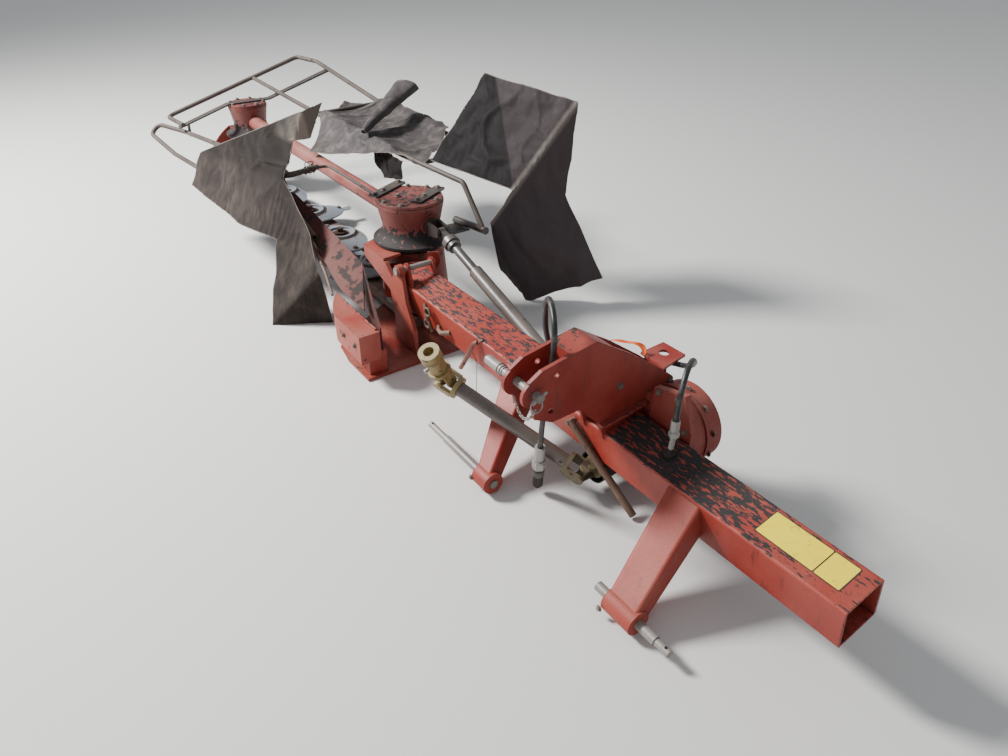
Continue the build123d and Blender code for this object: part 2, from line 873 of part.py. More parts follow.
# Hinge tube welded along the cover's edge, and the thin rod from it down to the shoe's nose.
hinge_tube_r = 16.0
edge_rod_r = 6.0
tube_seat = cover_thick / 2 + hinge_tube_r
tube_near = (249, 396)
tube_far = (609, 382)
tube_ends = (tuple(cover_point(*tube_near, tube_seat)), tuple(cover_point(*tube_far, tube_seat)))
tube_outside = rod(*tube_ends, hinge_tube_r)
with BuildPart() as cover_tube:
    add(tube_outside)
    add(rod(*tube_ends, hinge_tube_r - 6), mode=Mode.SUBTRACT)
    add(
        bent_tube(
            [
                tuple(cover_point(tube_near[0] + 6, tube_near[1] + hinge_tube_r - 4, tube_seat)),
                tuple(cover_point(tube_near[0] - 30, tube_near[1] + 24, tube_seat - 6)),
                tuple(cover_point(60, 448, edge_rod_r)),
                (shoe_out - 20, shoe_rear + 20, shoe_top + edge_rod_r - 3),
            ],
            30,
            edge_rod_r,
        )
    )
    add(front_cover.part, mode=Mode.SUBTRACT)
    add(inner_shoe.part, mode=Mode.SUBTRACT)
cover_tube.part.label = "cover_tube"

# Front frame: one bent tube, open towards the near head, the flat bar down to the cover's tube, and the
# bent rod to the near lid.
frame_tube_r = 12.5
frame_bend = 45.0
front_rail_z = 556.0
frame_reach = 281.0
bar_thick = 8.0
bar_width = 50.0
stay_r = 7.0
stay_z = head_top + bar_thick + stay_r - 1
frame_end_x = far_x + frame_reach
strut_x = near_x + 491
with BuildPart() as front_frame:
    add(
        bent_tube(
            [
                (near_x + 535, 250, front_rail_z),
                (near_x + 484, 430, front_rail_z),
                (near_x + 1229, 440, front_rail_z - 51),
                (far_x + 25, 450, 415),
                (frame_end_x - 24, 545, 425),
                (frame_end_x - 57, 604, 385),
                (far_x - 75, 560, 330),
                (near_x + 1129, 500, 350),
                (near_x + 749, 400, 425),
            ],
            frame_bend,
            frame_tube_r,
        )
    )
    with BuildSketch(across(strut_x)):
        Polygon((392, 386), (404, 386), (434, front_rail_z - 8), (422, front_rail_z - 8), align=None)
    extrude(amount=30)
    add(tube_outside, mode=Mode.SUBTRACT)
    add(
        bent_tube(
            [
                (near_x + 535, 262, front_rail_z),
                (near_x + 525, 203, stay_z),
                (near_x + 384, 199, stay_z),
                (near_x + 62, 203, stay_z),
            ],
            20,
            stay_r,
        )
    )
front_frame.part.label = "front_frame"

# Bracket under the near head's rear rim, with the stub tube on which the rear frame turns.
rear_hinge_y = -170.0
stub_r = 16.0
stub_out_x = -229.0
with BuildPart() as curtain_hinge:
    with BuildSketch(Plane.XY.offset(arm_top)):
        Polygon(
            (near_x - 46, disc_y - 118),
            (near_x + 44, disc_y - 118),
            (near_x + 44, rear_hinge_y - 18),
            (near_x - 46, rear_hinge_y - 18),
            align=None,
        )
    extrude(amount=shelf_depth)
    add(
        rod(
            (near_x + 44, rear_hinge_y, flange_low + stub_r - 2),
            (stub_out_x, rear_hinge_y, flange_low + stub_r + 24),
            stub_r,
        )
    )
    with BuildSketch(Plane.XY.offset(arm_top - 30)):
        Rectangle(600, 600)
    extrude(amount=30, mode=Mode.SUBTRACT)
curtain_hinge.part.label = "curtain_hinge"

# Rear frame: an outer rail from the far head's front round its outside, and an inner rail from there
# back to the stub tube, with one tube across.
rear_rail_y = -455.0
inner_rail_y = -78.0
inner_rail_z = 585.0
inner_bend_x = 900.0
rear_tube_x = frame_end_x + 0.5
rail_slope = 0.02
rail_cross_x = 1255.0
rail_end_x = 230.0
rear_rail_z = 600.0


def rail_height(base, x):
    """Height of a rear rail at x, which climbs outwards from its own base height."""
    return base + rail_slope * (x - inner_bend_x)


with BuildPart() as rear_frame:
    add(
        bent_tube(
            [
                (far_x - 36, 470, 471),
                (rear_tube_x, 480, 455),
                (rear_tube_x, -380, 706),
                (rear_tube_x - 137, rear_rail_y, 690),
                (rail_cross_x, rear_rail_y, rear_rail_z),
                (rail_end_x, rear_rail_y, rail_height(rear_rail_z - 7, rail_end_x)),
            ],
            frame_bend,
            frame_tube_r,
        )
    )
    add(
        bent_tube(
            [
                (rear_tube_x, inner_rail_y, rail_height(inner_rail_z, rear_tube_x)),
                (inner_bend_x, inner_rail_y, inner_rail_z),
                (near_x - 31, rear_hinge_y, inner_rail_z - 26),
                (stub_out_x + 24, rear_hinge_y, flange_low + 2 * stub_r + 12),
            ],
            frame_bend,
            frame_tube_r - 1,
        )
    )
    for cross_x in (rail_cross_x + 4, rail_end_x + 20):
        inner_y = inner_rail_y if cross_x > inner_bend_x else inner_rail_y - 64
        inner_z = rail_height(inner_rail_z, cross_x) - (0 if cross_x > inner_bend_x else 5)
        add(
            rod(
                (cross_x, inner_y, inner_z),
                (cross_x, rear_rail_y, rail_height(rear_rail_z - 7, cross_x)),
                frame_tube_r - 2,
            )
        )
    add(curtain_hinge.part, mode=Mode.SUBTRACT)
rear_frame.part.label = "rear_frame"

# Flat bars bolted on the lids. The far one carries both frames, with a strap down to the front one.
lid_bar_rows = (
    # one end x and y from the near head's centre, other end x and y
    (70, 135, 170, -55),
    (-90, 25, 10, -155),
)
with BuildPart() as lid_bars:
    for start_x, start_y, end_x, end_y in lid_bar_rows:
        middle = (near_x + (start_x + end_x) / 2, disc_y + (start_y + end_y) / 2)
        turn = degrees(atan2(end_y - start_y, end_x - start_x))
        with BuildSketch(Plane.XY.offset(head_top)):
            with Locations(Location((*middle, 0), (0, 0, turn))):
                RectangleRounded(hypot(end_x - start_x, end_y - start_y), bar_width, 8)
        extrude(amount=bar_thick)
    with BuildSketch(across(far_x - bar_width / 2)):
        Polygon(
            (488, 449),
            (486, 457),
            (190, head_top + bar_thick),
            (-60, head_top + bar_thick),
            (rear_rail_y - 6, 667),
            (rear_rail_y - 10, 658),
            (-58, head_top),
            (188, head_top),
            align=None,
        )
    extrude(amount=bar_width)
    with BuildSketch(across(far_x - 15)):
        Polygon((430, 395), (440, 395), (440, 470), (430, 470), align=None)
    extrude(amount=30)
    add(rear_frame.part, mode=Mode.SUBTRACT)
    add(front_frame.part, mode=Mode.SUBTRACT)
lid_bars.part.label = "lid_bars"

# Tractor shaft, folded sideways along the beam's front and resting on the left hitch leg, with its
# outer yoke folded back over it.
pto_inner = Vector(drive_x, pto_inner_y, drive_z)
pto_outer = Vector(-962, 485.8, 289.2)
pto_end_way = Vector(-0.156, 0.425, 0.894).normalized()
pto_r = 24.0
pto_bore_r = 17.5
pto_socket = 92.0
pto_socket_r = 30.0
pto_way = (pto_outer - pto_inner).normalized()
pto_length = (pto_outer - pto_inner).length
yoke_gap = 54.0
yoke_ear = 11.0
yoke_ear_r = 18.0
yoke_back = yoke_reach + yoke_hub
cross_r = 8.0
cross_block_r = 14.0
cross_block = 18.0


def yoke(centre, way, pin):
    """A shaft fork: two ears round the joint's pin and a round hub behind them, along way."""
    with BuildPart() as fork:
        with BuildSketch(Plane(origin=centre + way * yoke_reach, x_dir=pin, z_dir=way)):
            Circle(yoke_gap / 2 + yoke_ear)
        extrude(amount=yoke_hub)
        for side in (-1, 1):
            face = Plane(origin=centre + pin * side * (yoke_gap / 2), x_dir=way, z_dir=pin * side)
            with BuildSketch(face):
                Circle(yoke_ear_r)
                with Locations((yoke_reach / 2, 0)):
                    Rectangle(yoke_reach, 2 * yoke_ear_r)
                Circle(cross_r, mode=Mode.SUBTRACT)
            extrude(amount=yoke_ear)
    return fork.part


def cross(centre, pin, other):
    """The cross in the middle of a joint: two pins at right angles and the block where they meet."""
    with BuildPart() as spider:
        for way in (pin, other):
            for reach, radius in ((yoke_gap / 2 + yoke_ear, cross_r), (cross_block, cross_block_r)):
                add(rod(tuple(centre - way * reach), tuple(centre + way * reach), radius))
    return spider.part


inner_pin = pto_way.cross(Vector(0, 1, 0)).normalized()
tube_pin = pto_way.cross(inner_pin).normalized()
fold_pin = pto_way.cross(pto_end_way).normalized()
end_pin = pto_end_way.cross(fold_pin).normalized()
with BuildPart() as pto_tube:
    with BuildSketch(Plane(origin=pto_inner + pto_way * yoke_back, x_dir=tube_pin, z_dir=pto_way)):
        Circle(pto_r)
    extrude(amount=pto_length - 2 * yoke_back)
pto_tube.part.label = "pto_tube"

with BuildPart() as pto_inner_yoke:
    add(yoke(pto_inner, Vector(0, -1, 0), inner_pin))
    add(cross(pto_inner, inner_pin, tube_pin))
    add(yoke(pto_inner, pto_way, tube_pin))
pto_inner_yoke.part.label = "pto_inner_yoke"

with BuildPart() as pto_outer_yoke:
    add(yoke(pto_outer, pto_way * -1, fold_pin))
    add(cross(pto_outer, fold_pin, end_pin))
    add(yoke(pto_outer, pto_end_way, end_pin))
    mouth = pto_outer + pto_end_way * (yoke_back + pto_socket)
    socket_end = Plane(origin=mouth, x_dir=end_pin, z_dir=pto_end_way)
    with BuildSketch(socket_end):
        Circle(pto_socket_r)
    extrude(amount=-pto_socket)
    with BuildSketch(socket_end):
        Circle(pto_socket_r + 5)
    extrude(amount=-pto_socket / 4)
    with BuildSketch(socket_end):
        Circle(pto_bore_r)
    extrude(amount=-(pto_socket + yoke_hub), mode=Mode.SUBTRACT)
pto_outer_yoke.part.label = "pto_outer_yoke"

# Prop rod hung on a stud on the beam's front.
prop_r = 12.0
prop_top = (-1335, 270, 258)
prop_foot = (-1575, 203, 13)
with BuildPart() as prop_rod:
    add(rod(prop_top, prop_foot, prop_r))
    add(rod((prop_top[0], beam_y, prop_top[2] - 6), (prop_top[0], prop_top[1] + 14, prop_top[2] - 6), 8))
    add(beam_block.part, mode=Mode.SUBTRACT)
prop_rod.part.label = "prop_rod"

# Hydraulic hose: out of the beam's top, over the bevel case behind the mast, up beyond the far plate
# and over in a loop, then down between the plates to the coupler that hangs by the ground.
hose_r = 8.5
hose_points = (
    (-1652, 168, 405),
    (-1649, 164, 502),
    (-1606, 88, 548),
    (-1566, 15, 490),
    (-1500, -40, 420),
    (-1405, -52, 388),
    (-1325, -10, 352),
    (-1302, 85, 332),
    (-1298, 185, 345),
    (-1292, 275, 430),
    (-1285, 335, 540),
    (-1284, 339, 664),
    (-1358, 380, 713),
    (-1432, 421, 664),
    (-1430, 428, 525),
    (-1394, 424, 372),
    (-1359, 400, 229),
)
hose_bends = bend_radii(hose_points, 400.0)
with BuildPart() as hose:
    with BuildLine() as hose_path:
        FilletPolyline(*hose_points, radius=hose_bends)
    with BuildSketch(Plane(origin=hose_path.line @ 0, z_dir=hose_path.line % 0)):
        Circle(hose_r)
    sweep()
hose.part.label = "hose"
print("hose bends", [round(bend, 1) for bend in hose_bends], "length", round(hose_path.wire().length, 1))

# What is crimped on the hose's ends: a pipe with a nut over the beam's hole, and a hanging coupler.
pipe_r = 8.0
nut_r = 18.0
nut_high = 12.0
ferrule_r = 12.0
ferrule = 55.0
hose_hole = Vector(hose_hole_x, *on_beam(0, beam_half))
beam_up = Vector(0, sin_tilt, cos_tilt)
hose_start = Vector(*hose_points[0])
start_way = (hose_start - Vector(*hose_points[1])).normalized()
hose_end = Vector(*hose_points[-1])
end_way = (hose_end - Vector(*hose_points[-2])).normalized()
coupler_rows = (
    # distance along from the hose's end, length, radius
    (0.0, 62.0, 15.5),
    (62.0, 54.0, 19.0),
    (116.0, 84.0, 16.5),
    (200.0, 12.0, 11.0),
)
with BuildPart() as hose_ends:
    with BuildSketch(Plane(origin=hose_hole, z_dir=beam_up)):
        RegularPolygon(nut_r, 6)
    extrude(amount=nut_high)
    add(rod(tuple(hose_start + start_way * ferrule), tuple(hose_start), ferrule_r))
    pipe_top = hose_start + start_way * (ferrule - 4)
    add(rod(tuple(hose_hole + beam_up * (nut_high / 2)), tuple(pipe_top), pipe_r))
    for at, long, radius in coupler_rows:
        add(rod(tuple(hose_end + end_way * at), tuple(hose_end + end_way * (at + long)), radius))
hose_ends.part.label = "hose_ends"

# Canvas curtains. Each is one closed sheet of flat facets that share their folds, hung just clear of
# the tube that carries it.
canvas = 6.0
soft = 0.3
canvas_lift = frame_tube_r + canvas / 2


def folded(corners, facets):
    """A sheet made of the facets, each given by the names of its corners."""
    with BuildPart() as cloth:
        for facet in facets:
            add(sheet([corners[name] for name in facet], canvas))
    return cloth.part


def seated(cloth, carrier, way):
    """The cloth moved along way until it lies a soft seat's gap off its carrier."""
    for step in range(8):
        cloth = cloth.moved(Location(way * (cloth.distance_to(carrier) - soft)))
    return cloth


def over_rails(x, y):
    """A point of the plane that lies on both rear rails."""
    rise = (rear_rail_z - inner_rail_z) / 2
    height = rail_height(inner_rail_z, x) + rise * (inner_rail_y - y) / (inner_rail_y - rear_rail_y)
    return (x, y, height + canvas_lift + 4)


front_corners = {
    "far top": (1408, 560, 451),
    "peak": (100, 462, 905),
    "rail": (430, 464, 556),
    "far low": (1400, 640, 300),
    "hem": (700, 612, 300),
    "neck": (400, 548, 310),
    "fold": (190, 470, 378),
    "edge": (95, 490, 250),
    "foot front": (222, 689, 5),
    "foot rear": (96, 460, 5),
}
front_facets = (
    ("far top", "peak", "rail"),
    ("far top", "rail", "hem"),
    ("far top", "hem", "far low"),
    ("rail", "neck", "hem"),
    ("rail", "fold", "neck"),
    ("fold", "edge", "neck"),
    ("edge", "foot front", "neck"),
    ("edge", "foot rear", "foot front"),
)
middle_corners = {
    "out": over_rails(1161, -58),
    "out rear": over_rails(1360, -288),
    "rear out": over_rails(1180, -480),
    "rear in": over_rails(560, -480),
    "in": over_rails(215, -150),
    "drop out": (932, 120, 514),
    "drop in": (700, 0, 552),
}
middle_facets = (
    ("out", "out rear", "rear out", "rear in", "in"),
    ("out", "drop out", "drop in"),
    ("out", "drop in", "in"),
)
roll_low = (672, -66, 626)
roll_high = (890, -425, 742)
roll_r = 36.0
rear_outer = Vector(-341, -560, 886)
rear_hinge = Vector(-236, -200, 425)
crease_share = 0.72
rear_corners = {
    "tube": (222, -190, 575),
    "peak": (170, -450, 928),
    "outer": tuple(rear_outer),
    "crease": tuple(rear_outer + (rear_hinge - rear_outer) * crease_share),
    "hinge": tuple(rear_hinge),
    "waist": (-291, -560, 492),
    "corner": (-452, -664, 134),
    "foot": (-245, -400, 5),
    "low": (-149, -310, 147),
}
rear_facets = (
    ("tube", "peak", "crease"),
    ("peak", "outer", "crease"),
    ("outer", "waist", "hinge"),
    ("hinge", "waist", "corner"),
    ("hinge", "corner", "foot"),
    ("hinge", "foot", "low"),
)
canvas_front = seated(folded(front_corners, front_facets), front_frame.part, Vector(0, -1, 0))
canvas_front.label = "canvas_front"
canvas_middle = folded(middle_corners, middle_facets) + rod(roll_low, roll_high, roll_r)
canvas_middle = seated(canvas_middle, rear_frame.part, Vector(0, 0, -1))
canvas_middle.label = "canvas_middle"
canvas_rear = seated(folded(rear_corners, rear_facets), rear_frame.part, Vector(1, 0, 0))
canvas_rear.label = "canvas_rear"

everything = [
    main_beam.part,
    beam_end_plate.part,
    hinge_ears.part,
    hinge_pin.part,
    *[leg.part for leg in legs.values()],
    lower_pins.part,
    mast.part,
    top_link_pin.part,
    drive_case.part,
    input_guard.part,
    *[rotor.part for rotor in rotors.values()],
    *[drum.part for drum in drums.values()],
    gear_case.part,
    skid_shoes.part,
    lift_arm.part,
    inner_shoe.part,
    outer_shoe.part,
    *[head.part for head in heads.values()],
    head_fork.part,
    shaft_tube.part,
    shaft_slider.part,
    top_tube.part,
    front_cover.part,
    cover_tube.part,
    front_frame.part,
    rear_frame.part,
    lid_bars.part,
    curtain_hinge.part,
    pto_tube.part,
    pto_inner_yoke.part,
    pto_outer_yoke.part,
    prop_rod.part,
    hose.part,
    hose_ends.part,
    canvas_front,
    canvas_middle,
    canvas_rear,
]
for piece in everything:
    export_step(piece, f"parts/{piece.label}.step")
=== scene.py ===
import math
import bmesh
import bpy
from mathutils import Matrix, Vector, noise


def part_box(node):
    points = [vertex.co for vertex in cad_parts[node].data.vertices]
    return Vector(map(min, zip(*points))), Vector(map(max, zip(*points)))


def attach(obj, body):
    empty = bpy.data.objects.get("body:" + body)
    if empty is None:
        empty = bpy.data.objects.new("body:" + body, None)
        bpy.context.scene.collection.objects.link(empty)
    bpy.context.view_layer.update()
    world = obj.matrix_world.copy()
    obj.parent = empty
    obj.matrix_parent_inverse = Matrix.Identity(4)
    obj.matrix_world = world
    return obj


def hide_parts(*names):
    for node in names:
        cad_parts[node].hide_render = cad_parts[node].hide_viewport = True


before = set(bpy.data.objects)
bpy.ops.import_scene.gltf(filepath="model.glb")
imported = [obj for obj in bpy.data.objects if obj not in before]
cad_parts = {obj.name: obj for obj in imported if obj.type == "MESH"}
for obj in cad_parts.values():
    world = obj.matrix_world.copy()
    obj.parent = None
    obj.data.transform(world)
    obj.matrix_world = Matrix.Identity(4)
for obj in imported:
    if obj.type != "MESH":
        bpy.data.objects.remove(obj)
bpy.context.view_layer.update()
bpy.ops.object.select_all(action="DESELECT")

# Camera at standing eye height off the machine's front corner, looking along the frame beam towards
# the cutter bar.
def placed(name, data):
    """A new object of that data, put into the scene."""
    made = bpy.data.objects.new(name, data)
    bpy.context.scene.collection.objects.link(made)
    return made


eye = Vector((-2.709, 1.480, 1.605))
look = Vector((0.684, -0.481, -0.549))
camera_data = bpy.data.cameras.new("camera")
camera_data.sensor_width = 36.0
camera_data.lens = 26.59
camera = placed("camera", camera_data)
camera.location = eye
camera.rotation_euler = look.to_track_quat("-Z", "Y").to_euler()
bpy.context.scene.camera = camera

# Hydraulic hose: black rubber over wire braid, crimped on at both ends. It leaves the beam's top, loops
# over the mast and hangs down between its plates to the coupler. It lies where its CAD tube does.
hose_route = (
    (-1.652, 0.168, 0.405),
    (-1.649, 0.164, 0.502),
    (-1.606, 0.088, 0.548),
    (-1.566, 0.015, 0.490),
    (-1.500, -0.040, 0.420),
    (-1.405, -0.052, 0.388),
    (-1.325, -0.010, 0.352),
    (-1.302, 0.085, 0.332),
    (-1.298, 0.185, 0.345),
    (-1.292, 0.275, 0.430),
    (-1.285, 0.335, 0.540),
    (-1.284, 0.339, 0.664),
    (-1.358, 0.380, 0.713),
    (-1.432, 0.421, 0.664),
    (-1.430, 0.428, 0.525),
    (-1.394, 0.424, 0.372),
    (-1.359, 0.400, 0.229),
)
hose_radius = 0.0085


def round_curve(name, route, radius, order, around, along):
    """A round bar as a curve that follows the route, and the curve's spline."""
    line = bpy.data.curves.new(name, "CURVE")
    line.dimensions = "3D"
    line.bevel_depth = radius
    line.bevel_resolution = around
    line.use_fill_caps = True
    run = line.splines.new("NURBS")
    run.points.add(len(route) - 1)
    for point, place in zip(run.points, route):
        point.co = (*place, 1)
    run.order_u = order
    run.use_endpoint_u = True
    run.resolution_u = along
    return placed(name, line), run


def new_material(name):
    """A new material, its tree and its shader."""
    made = bpy.data.materials.new(name)
    made.use_nodes = True
    return made, made.node_tree, made.node_tree.nodes["Principled BSDF"]


def place_node(tree, kind, inputs=(), **settings):
    """A node of a tree, with its settings, and its inputs given as a value or as another node's socket."""
    made = tree.nodes.new("ShaderNode" + kind)
    for name, value in settings.items():
        setattr(made, name, value)
    for key, value in dict(inputs).items():
        if isinstance(value, bpy.types.NodeSocket):
            tree.links.new(value, made.inputs[key])
        else:
            made.inputs[key].default_value = value
    return made


def noise_of(tree, vector, scale, detail=4.0, rough=0.55):
    """Noise from 0 to 1 of that scale, read at the vector."""
    wanted = {"Vector": vector, "Scale": scale, "Detail": detail, "Roughness": rough}
    return place_node(tree, "TexNoise", wanted).outputs["Fac"]


def between(tree, value, low, high, start=0.0, end=1.0):
    """The value stretched so that low to high becomes start to end, and held there."""
    wanted = {"Value": value, "From Min": low, "From Max": high, "To Min": start, "To Max": end}
    return place_node(tree, "MapRange", wanted).outputs["Result"]


def calc(tree, operation, *values):
    """One math step on the values."""
    return place_node(tree, "Math", dict(enumerate(values)), operation=operation).outputs[0]


def times(tree, first, *others):
    """The values multiplied together."""
    for other in others:
        first = calc(tree, "MULTIPLY", first, other)
    return first


def blend_colour(tree, share, first, second):
    """The first colour, going over to the second by the share."""
    return place_node(tree, "Mix", {0: share, 6: first, 7: second}, data_type="RGBA").outputs[2]


def object_spot(tree):
    """The place on the piece, in the piece's own axes."""
    return place_node(tree, "TexCoord").outputs["Object"]


hydraulic_hose = round_curve("hydraulic_hose", hose_route, hose_radius, 3, 5, 10)[0]
hose_rubber, tree, rubber = new_material("hose_rubber")
spot = object_spot(tree)
scuffs = between(tree, noise_of(tree, spot, 34.0, 6.0), 0.48, 0.68)
tree.links.new(
    blend_colour(tree, scuffs, (0.012, 0.012, 0.013, 1), (0.09, 0.08, 0.07, 1)), rubber.inputs["Base Color"],
)
tree.links.new(between(tree, scuffs, 0, 1, 0.38, 0.75), rubber.inputs["Roughness"])
cloth_wrap = place_node(tree, "TexWave", {"Vector": spot, "Scale": 190.0, "Distortion": 2.0}).outputs["Fac"]
wrap_bump = place_node(tree, "Bump", {"Strength": 0.25, "Distance": 0.0006, "Height": cloth_wrap})
tree.links.new(wrap_bump.outputs["Normal"], rubber.inputs["Normal"])
hydraulic_hose.data.materials.append(hose_rubber)
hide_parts("hose")
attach(hydraulic_hose, "headstock")

# Pale floor under the machine, with a soft daylight studio: one broad sun-like area light from high on
# the right and a grey sky for fill.
bpy.ops.mesh.primitive_plane_add(size=60, location=(0, 0, -0.001))
floor = bpy.context.object
floor.name = "floor"
floor_material, _, floor_shader = new_material("floor")
floor_shader.inputs["Base Color"].default_value = (0.62, 0.61, 0.58, 1)
floor_shader.inputs["Roughness"].default_value = 0.9
floor.data.materials.append(floor_material)

world = bpy.data.worlds.new("studio")
world.use_nodes = True
sky = world.node_tree.nodes["Background"].inputs
sky["Color"].default_value = (0.80, 0.84, 0.90, 1)
sky["Strength"].default_value = 0.62
bpy.context.scene.world = world

sun_data = bpy.data.lights.new("key", "AREA")
sun_data.shape = "DISK"
sun_data.size = 1.6
sun_data.energy = 1250
sun = placed("key", sun_data)
sun.location = (3.2, 3.6, 4.6)
sun.rotation_euler = (Vector((-0.3, 0.0, 0.2)) - sun.location).to_track_quat("-Z", "Y").to_euler()

# Frame beam: a square steel tube, painted red. The paint is worn through to dark steel along its top
# behind the mast, faded elsewhere, and chipped at every edge. The wear is one node group that all the
# machine's painted and bare metal shares.
def look_group(name, inputs, outputs):
    """An empty node group with its inputs, each of a kind and a first value, and its outputs."""
    made = bpy.data.node_groups.new(name, "ShaderNodeTree")
    for key, kind, first_value in inputs:
        socket = made.interface.new_socket(name=key, in_out="INPUT", socket_type="NodeSocket" + kind)
        socket.default_value = first_value
    for key, kind in outputs:
        made.interface.new_socket(name=key, in_out="OUTPUT", socket_type="NodeSocket" + kind)
    return made


def parts_of(tree, vector):
    """The X, Y and Z of a vector."""
    return place_node(tree, "SeparateXYZ", {0: vector}).outputs


wear_inputs = (
    ("Finish", "Color", (0.42, 0.045, 0.025, 1)),
    ("Faded", "Color", (0.52, 0.13, 0.085, 1)),
    ("Under", "Color", (0.035, 0.027, 0.024, 1)),
    ("Rust", "Color", (0.085, 0.036, 0.020, 1)),
    ("Dirt", "Color", (0.17, 0.13, 0.10, 1)),
    ("Stretch", "Vector", (1.0, 1.0, 1.0)),
    ("Size", "Float", 1.0),
    ("Chips", "Float", 0.35),
    ("Edges", "Float", 0.5),
    ("Dust", "Float", 0.35),
    ("Worn", "Float", 0.0),
    ("Gloss", "Float", 0.42),
    ("Metal", "Float", 0.3),
)
wear_outputs = (("Color", "Color"), ("Roughness", "Float"), ("Metallic", "Float"), ("Normal", "Vector"))
weathering = look_group("weathering", wear_inputs, wear_outputs)
tree = weathering
given = tree.nodes.new("NodeGroupInput").outputs
spot = object_spot(tree)
sized = place_node(tree, "VectorMath", {0: spot, "Scale": given["Size"]}, operation="SCALE").outputs[0]
broad = noise_of(tree, sized, 4.5, 5.0)
drawn_out = place_node(tree, "VectorMath", {0: sized, 1: given["Stretch"]}, operation="MULTIPLY").outputs[0]
middling = noise_of(tree, drawn_out, 28.0, 8.0, 0.62)
fine = noise_of(tree, sized, 190.0, 5.0, 0.6)
streak_spot = place_node(tree, "Mapping", {"Vector": sized, "Scale": (1.0, 1.0, 0.12)}).outputs[0]
streaks = noise_of(tree, streak_spot, 46.0, 5.0, 0.6)
rounded = place_node(tree, "Bevel", {"Radius": 0.006}, samples=4).outputs[0]
surface = place_node(tree, "NewGeometry").outputs["Normal"]
turned = place_node(tree, "VectorMath", {0: rounded, 1: surface}, operation="DOT_PRODUCT").outputs["Value"]
at_edge = between(tree, turned, 0.995, 0.86)
edge_bite = times(tree, at_edge, between(tree, middling, 0.38, 0.60))
edge_share = times(tree, edge_bite, given["Edges"])
chip_line = between(tree, given["Chips"], 0.0, 1.0, 0.80, 0.44)
pushed = calc(tree, "MULTIPLY_ADD", given["Worn"], 0.42, middling)
chip_gap = calc(tree, "SUBTRACT", pushed, chip_line)
chips = between(tree, chip_gap, 0.0, 0.035)
specks_at = place_node(tree, "TexVoronoi", {"Vector": sized, "Scale": 85.0, "Randomness": 1.0}).outputs["Distance"]
speck_room = times(tree, between(tree, specks_at, 0.17, 0.10), between(tree, broad, 0.46, 0.58))
specks = times(tree, speck_room, given["Chips"])
bared = calc(tree, "MAXIMUM", calc(tree, "MAXIMUM", chips, edge_share), specks)
faded = blend_colour(tree, between(tree, broad, 0.36, 0.66), given["Finish"], given["Faded"])
shaded = blend_colour(tree, between(tree, fine, 0.35, 0.75, 0.0, 0.28), faded, given["Faded"])
streaked = blend_colour(tree, between(tree, streaks, 0.56, 0.74, 0.0, 0.5), shaded, given["Under"])
rusted = blend_colour(tree, between(tree, fine, 0.42, 0.62), given["Under"], given["Rust"])
stripped = blend_colour(tree, bared, streaked, rusted)
up = parts_of(tree, surface)["Z"]
dust_room = times(tree, between(tree, up, 0.25, 0.9, 0.25, 1.0), between(tree, broad, 0.35, 0.7))
dust = times(tree, dust_room, given["Dust"])
dusty = blend_colour(tree, dust, stripped, given["Dirt"])
rough_start = calc(tree, "MULTIPLY_ADD", bared, 0.28, given["Gloss"])
roughness = calc(tree, "MULTIPLY_ADD", fine, 0.16, rough_start)
roughness = calc(tree, "MAXIMUM", roughness, between(tree, dust, 0.0, 0.6, 0.3, 0.85))
metallic = times(tree, bared, given["Metal"])
low_chips = calc(tree, "MULTIPLY_ADD", bared, -0.8, fine)
surface_bump = place_node(tree, "Bump", {"Strength": 0.5, "Distance": 0.0012, "Height": low_chips})
taken = tree.nodes.new("NodeGroupOutput").inputs
tree.links.new(dusty, taken["Color"])
tree.links.new(roughness, taken["Roughness"])
tree.links.new(metallic, taken["Metallic"])
tree.links.new(surface_bump.outputs["Normal"], taken["Normal"])


def add_group(tree, group, values):
    """A node of a shared group, with its own colours and numbers."""
    made = tree.nodes.new("ShaderNodeGroup")
    made.node_tree = group
    for key, value in values.items():
        colour = isinstance(value, tuple) and key != "Stretch"
        made.inputs[key].default_value = (*value, 1) if colour else value
    return made


def weathered(name, specular=0.4, **values):
    """A metal or paint material that wears by the shared group, with its own values."""
    made, tree, shader = new_material(name)
    wear = add_group(tree, weathering, values)
    wear.name = "wear"
    shader.inputs["Specular IOR Level"].default_value = specular
    tree.links.new(wear.outputs["Color"], shader.inputs["Base Color"])
    for key in ("Roughness", "Metallic", "Normal"):
        tree.links.new(wear.outputs[key], shader.inputs[key])
    return made


def worn_where(material, *masks):
    """Adds masks of place to a material's wear, each one a function of its tree and its spot."""
    tree = material.node_tree
    spot = object_spot(tree)
    total = 0.0
    for mask in masks:
        total = calc(tree, "MAXIMUM", mask(tree, parts_of(tree, spot)), total)
    tree.links.new(total, tree.nodes["wear"].inputs["Worn"])


def dress(material, *names):
    """Gives CAD nodes their finish."""
    for name in names:
        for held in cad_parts[name].material_slots:
            held.material = material


def facing_up(tree):
    """A mask of the faces that look upward."""
    facing = parts_of(tree, place_node(tree, "NewGeometry").outputs["Normal"])["Z"]
    return between(tree, facing, 0.6, 0.75)


def beam_top(tree, at):
    """The beam's upper face from the mast to near the panel, where the paint is gone."""
    toward_mast = between(tree, at["X"], -2.20, -1.82, 0.25, 0.62)
    return times(tree, toward_mast, between(tree, at["X"], -1.44, -1.50), facing_up(tree))


def beam_near_top(tree, at):
    """The beam's upper face on the cutter bar's side of the mast, scuffed along its length."""
    return times(tree, between(tree, at["X"], -1.40, -1.30), facing_up(tree), 0.42)


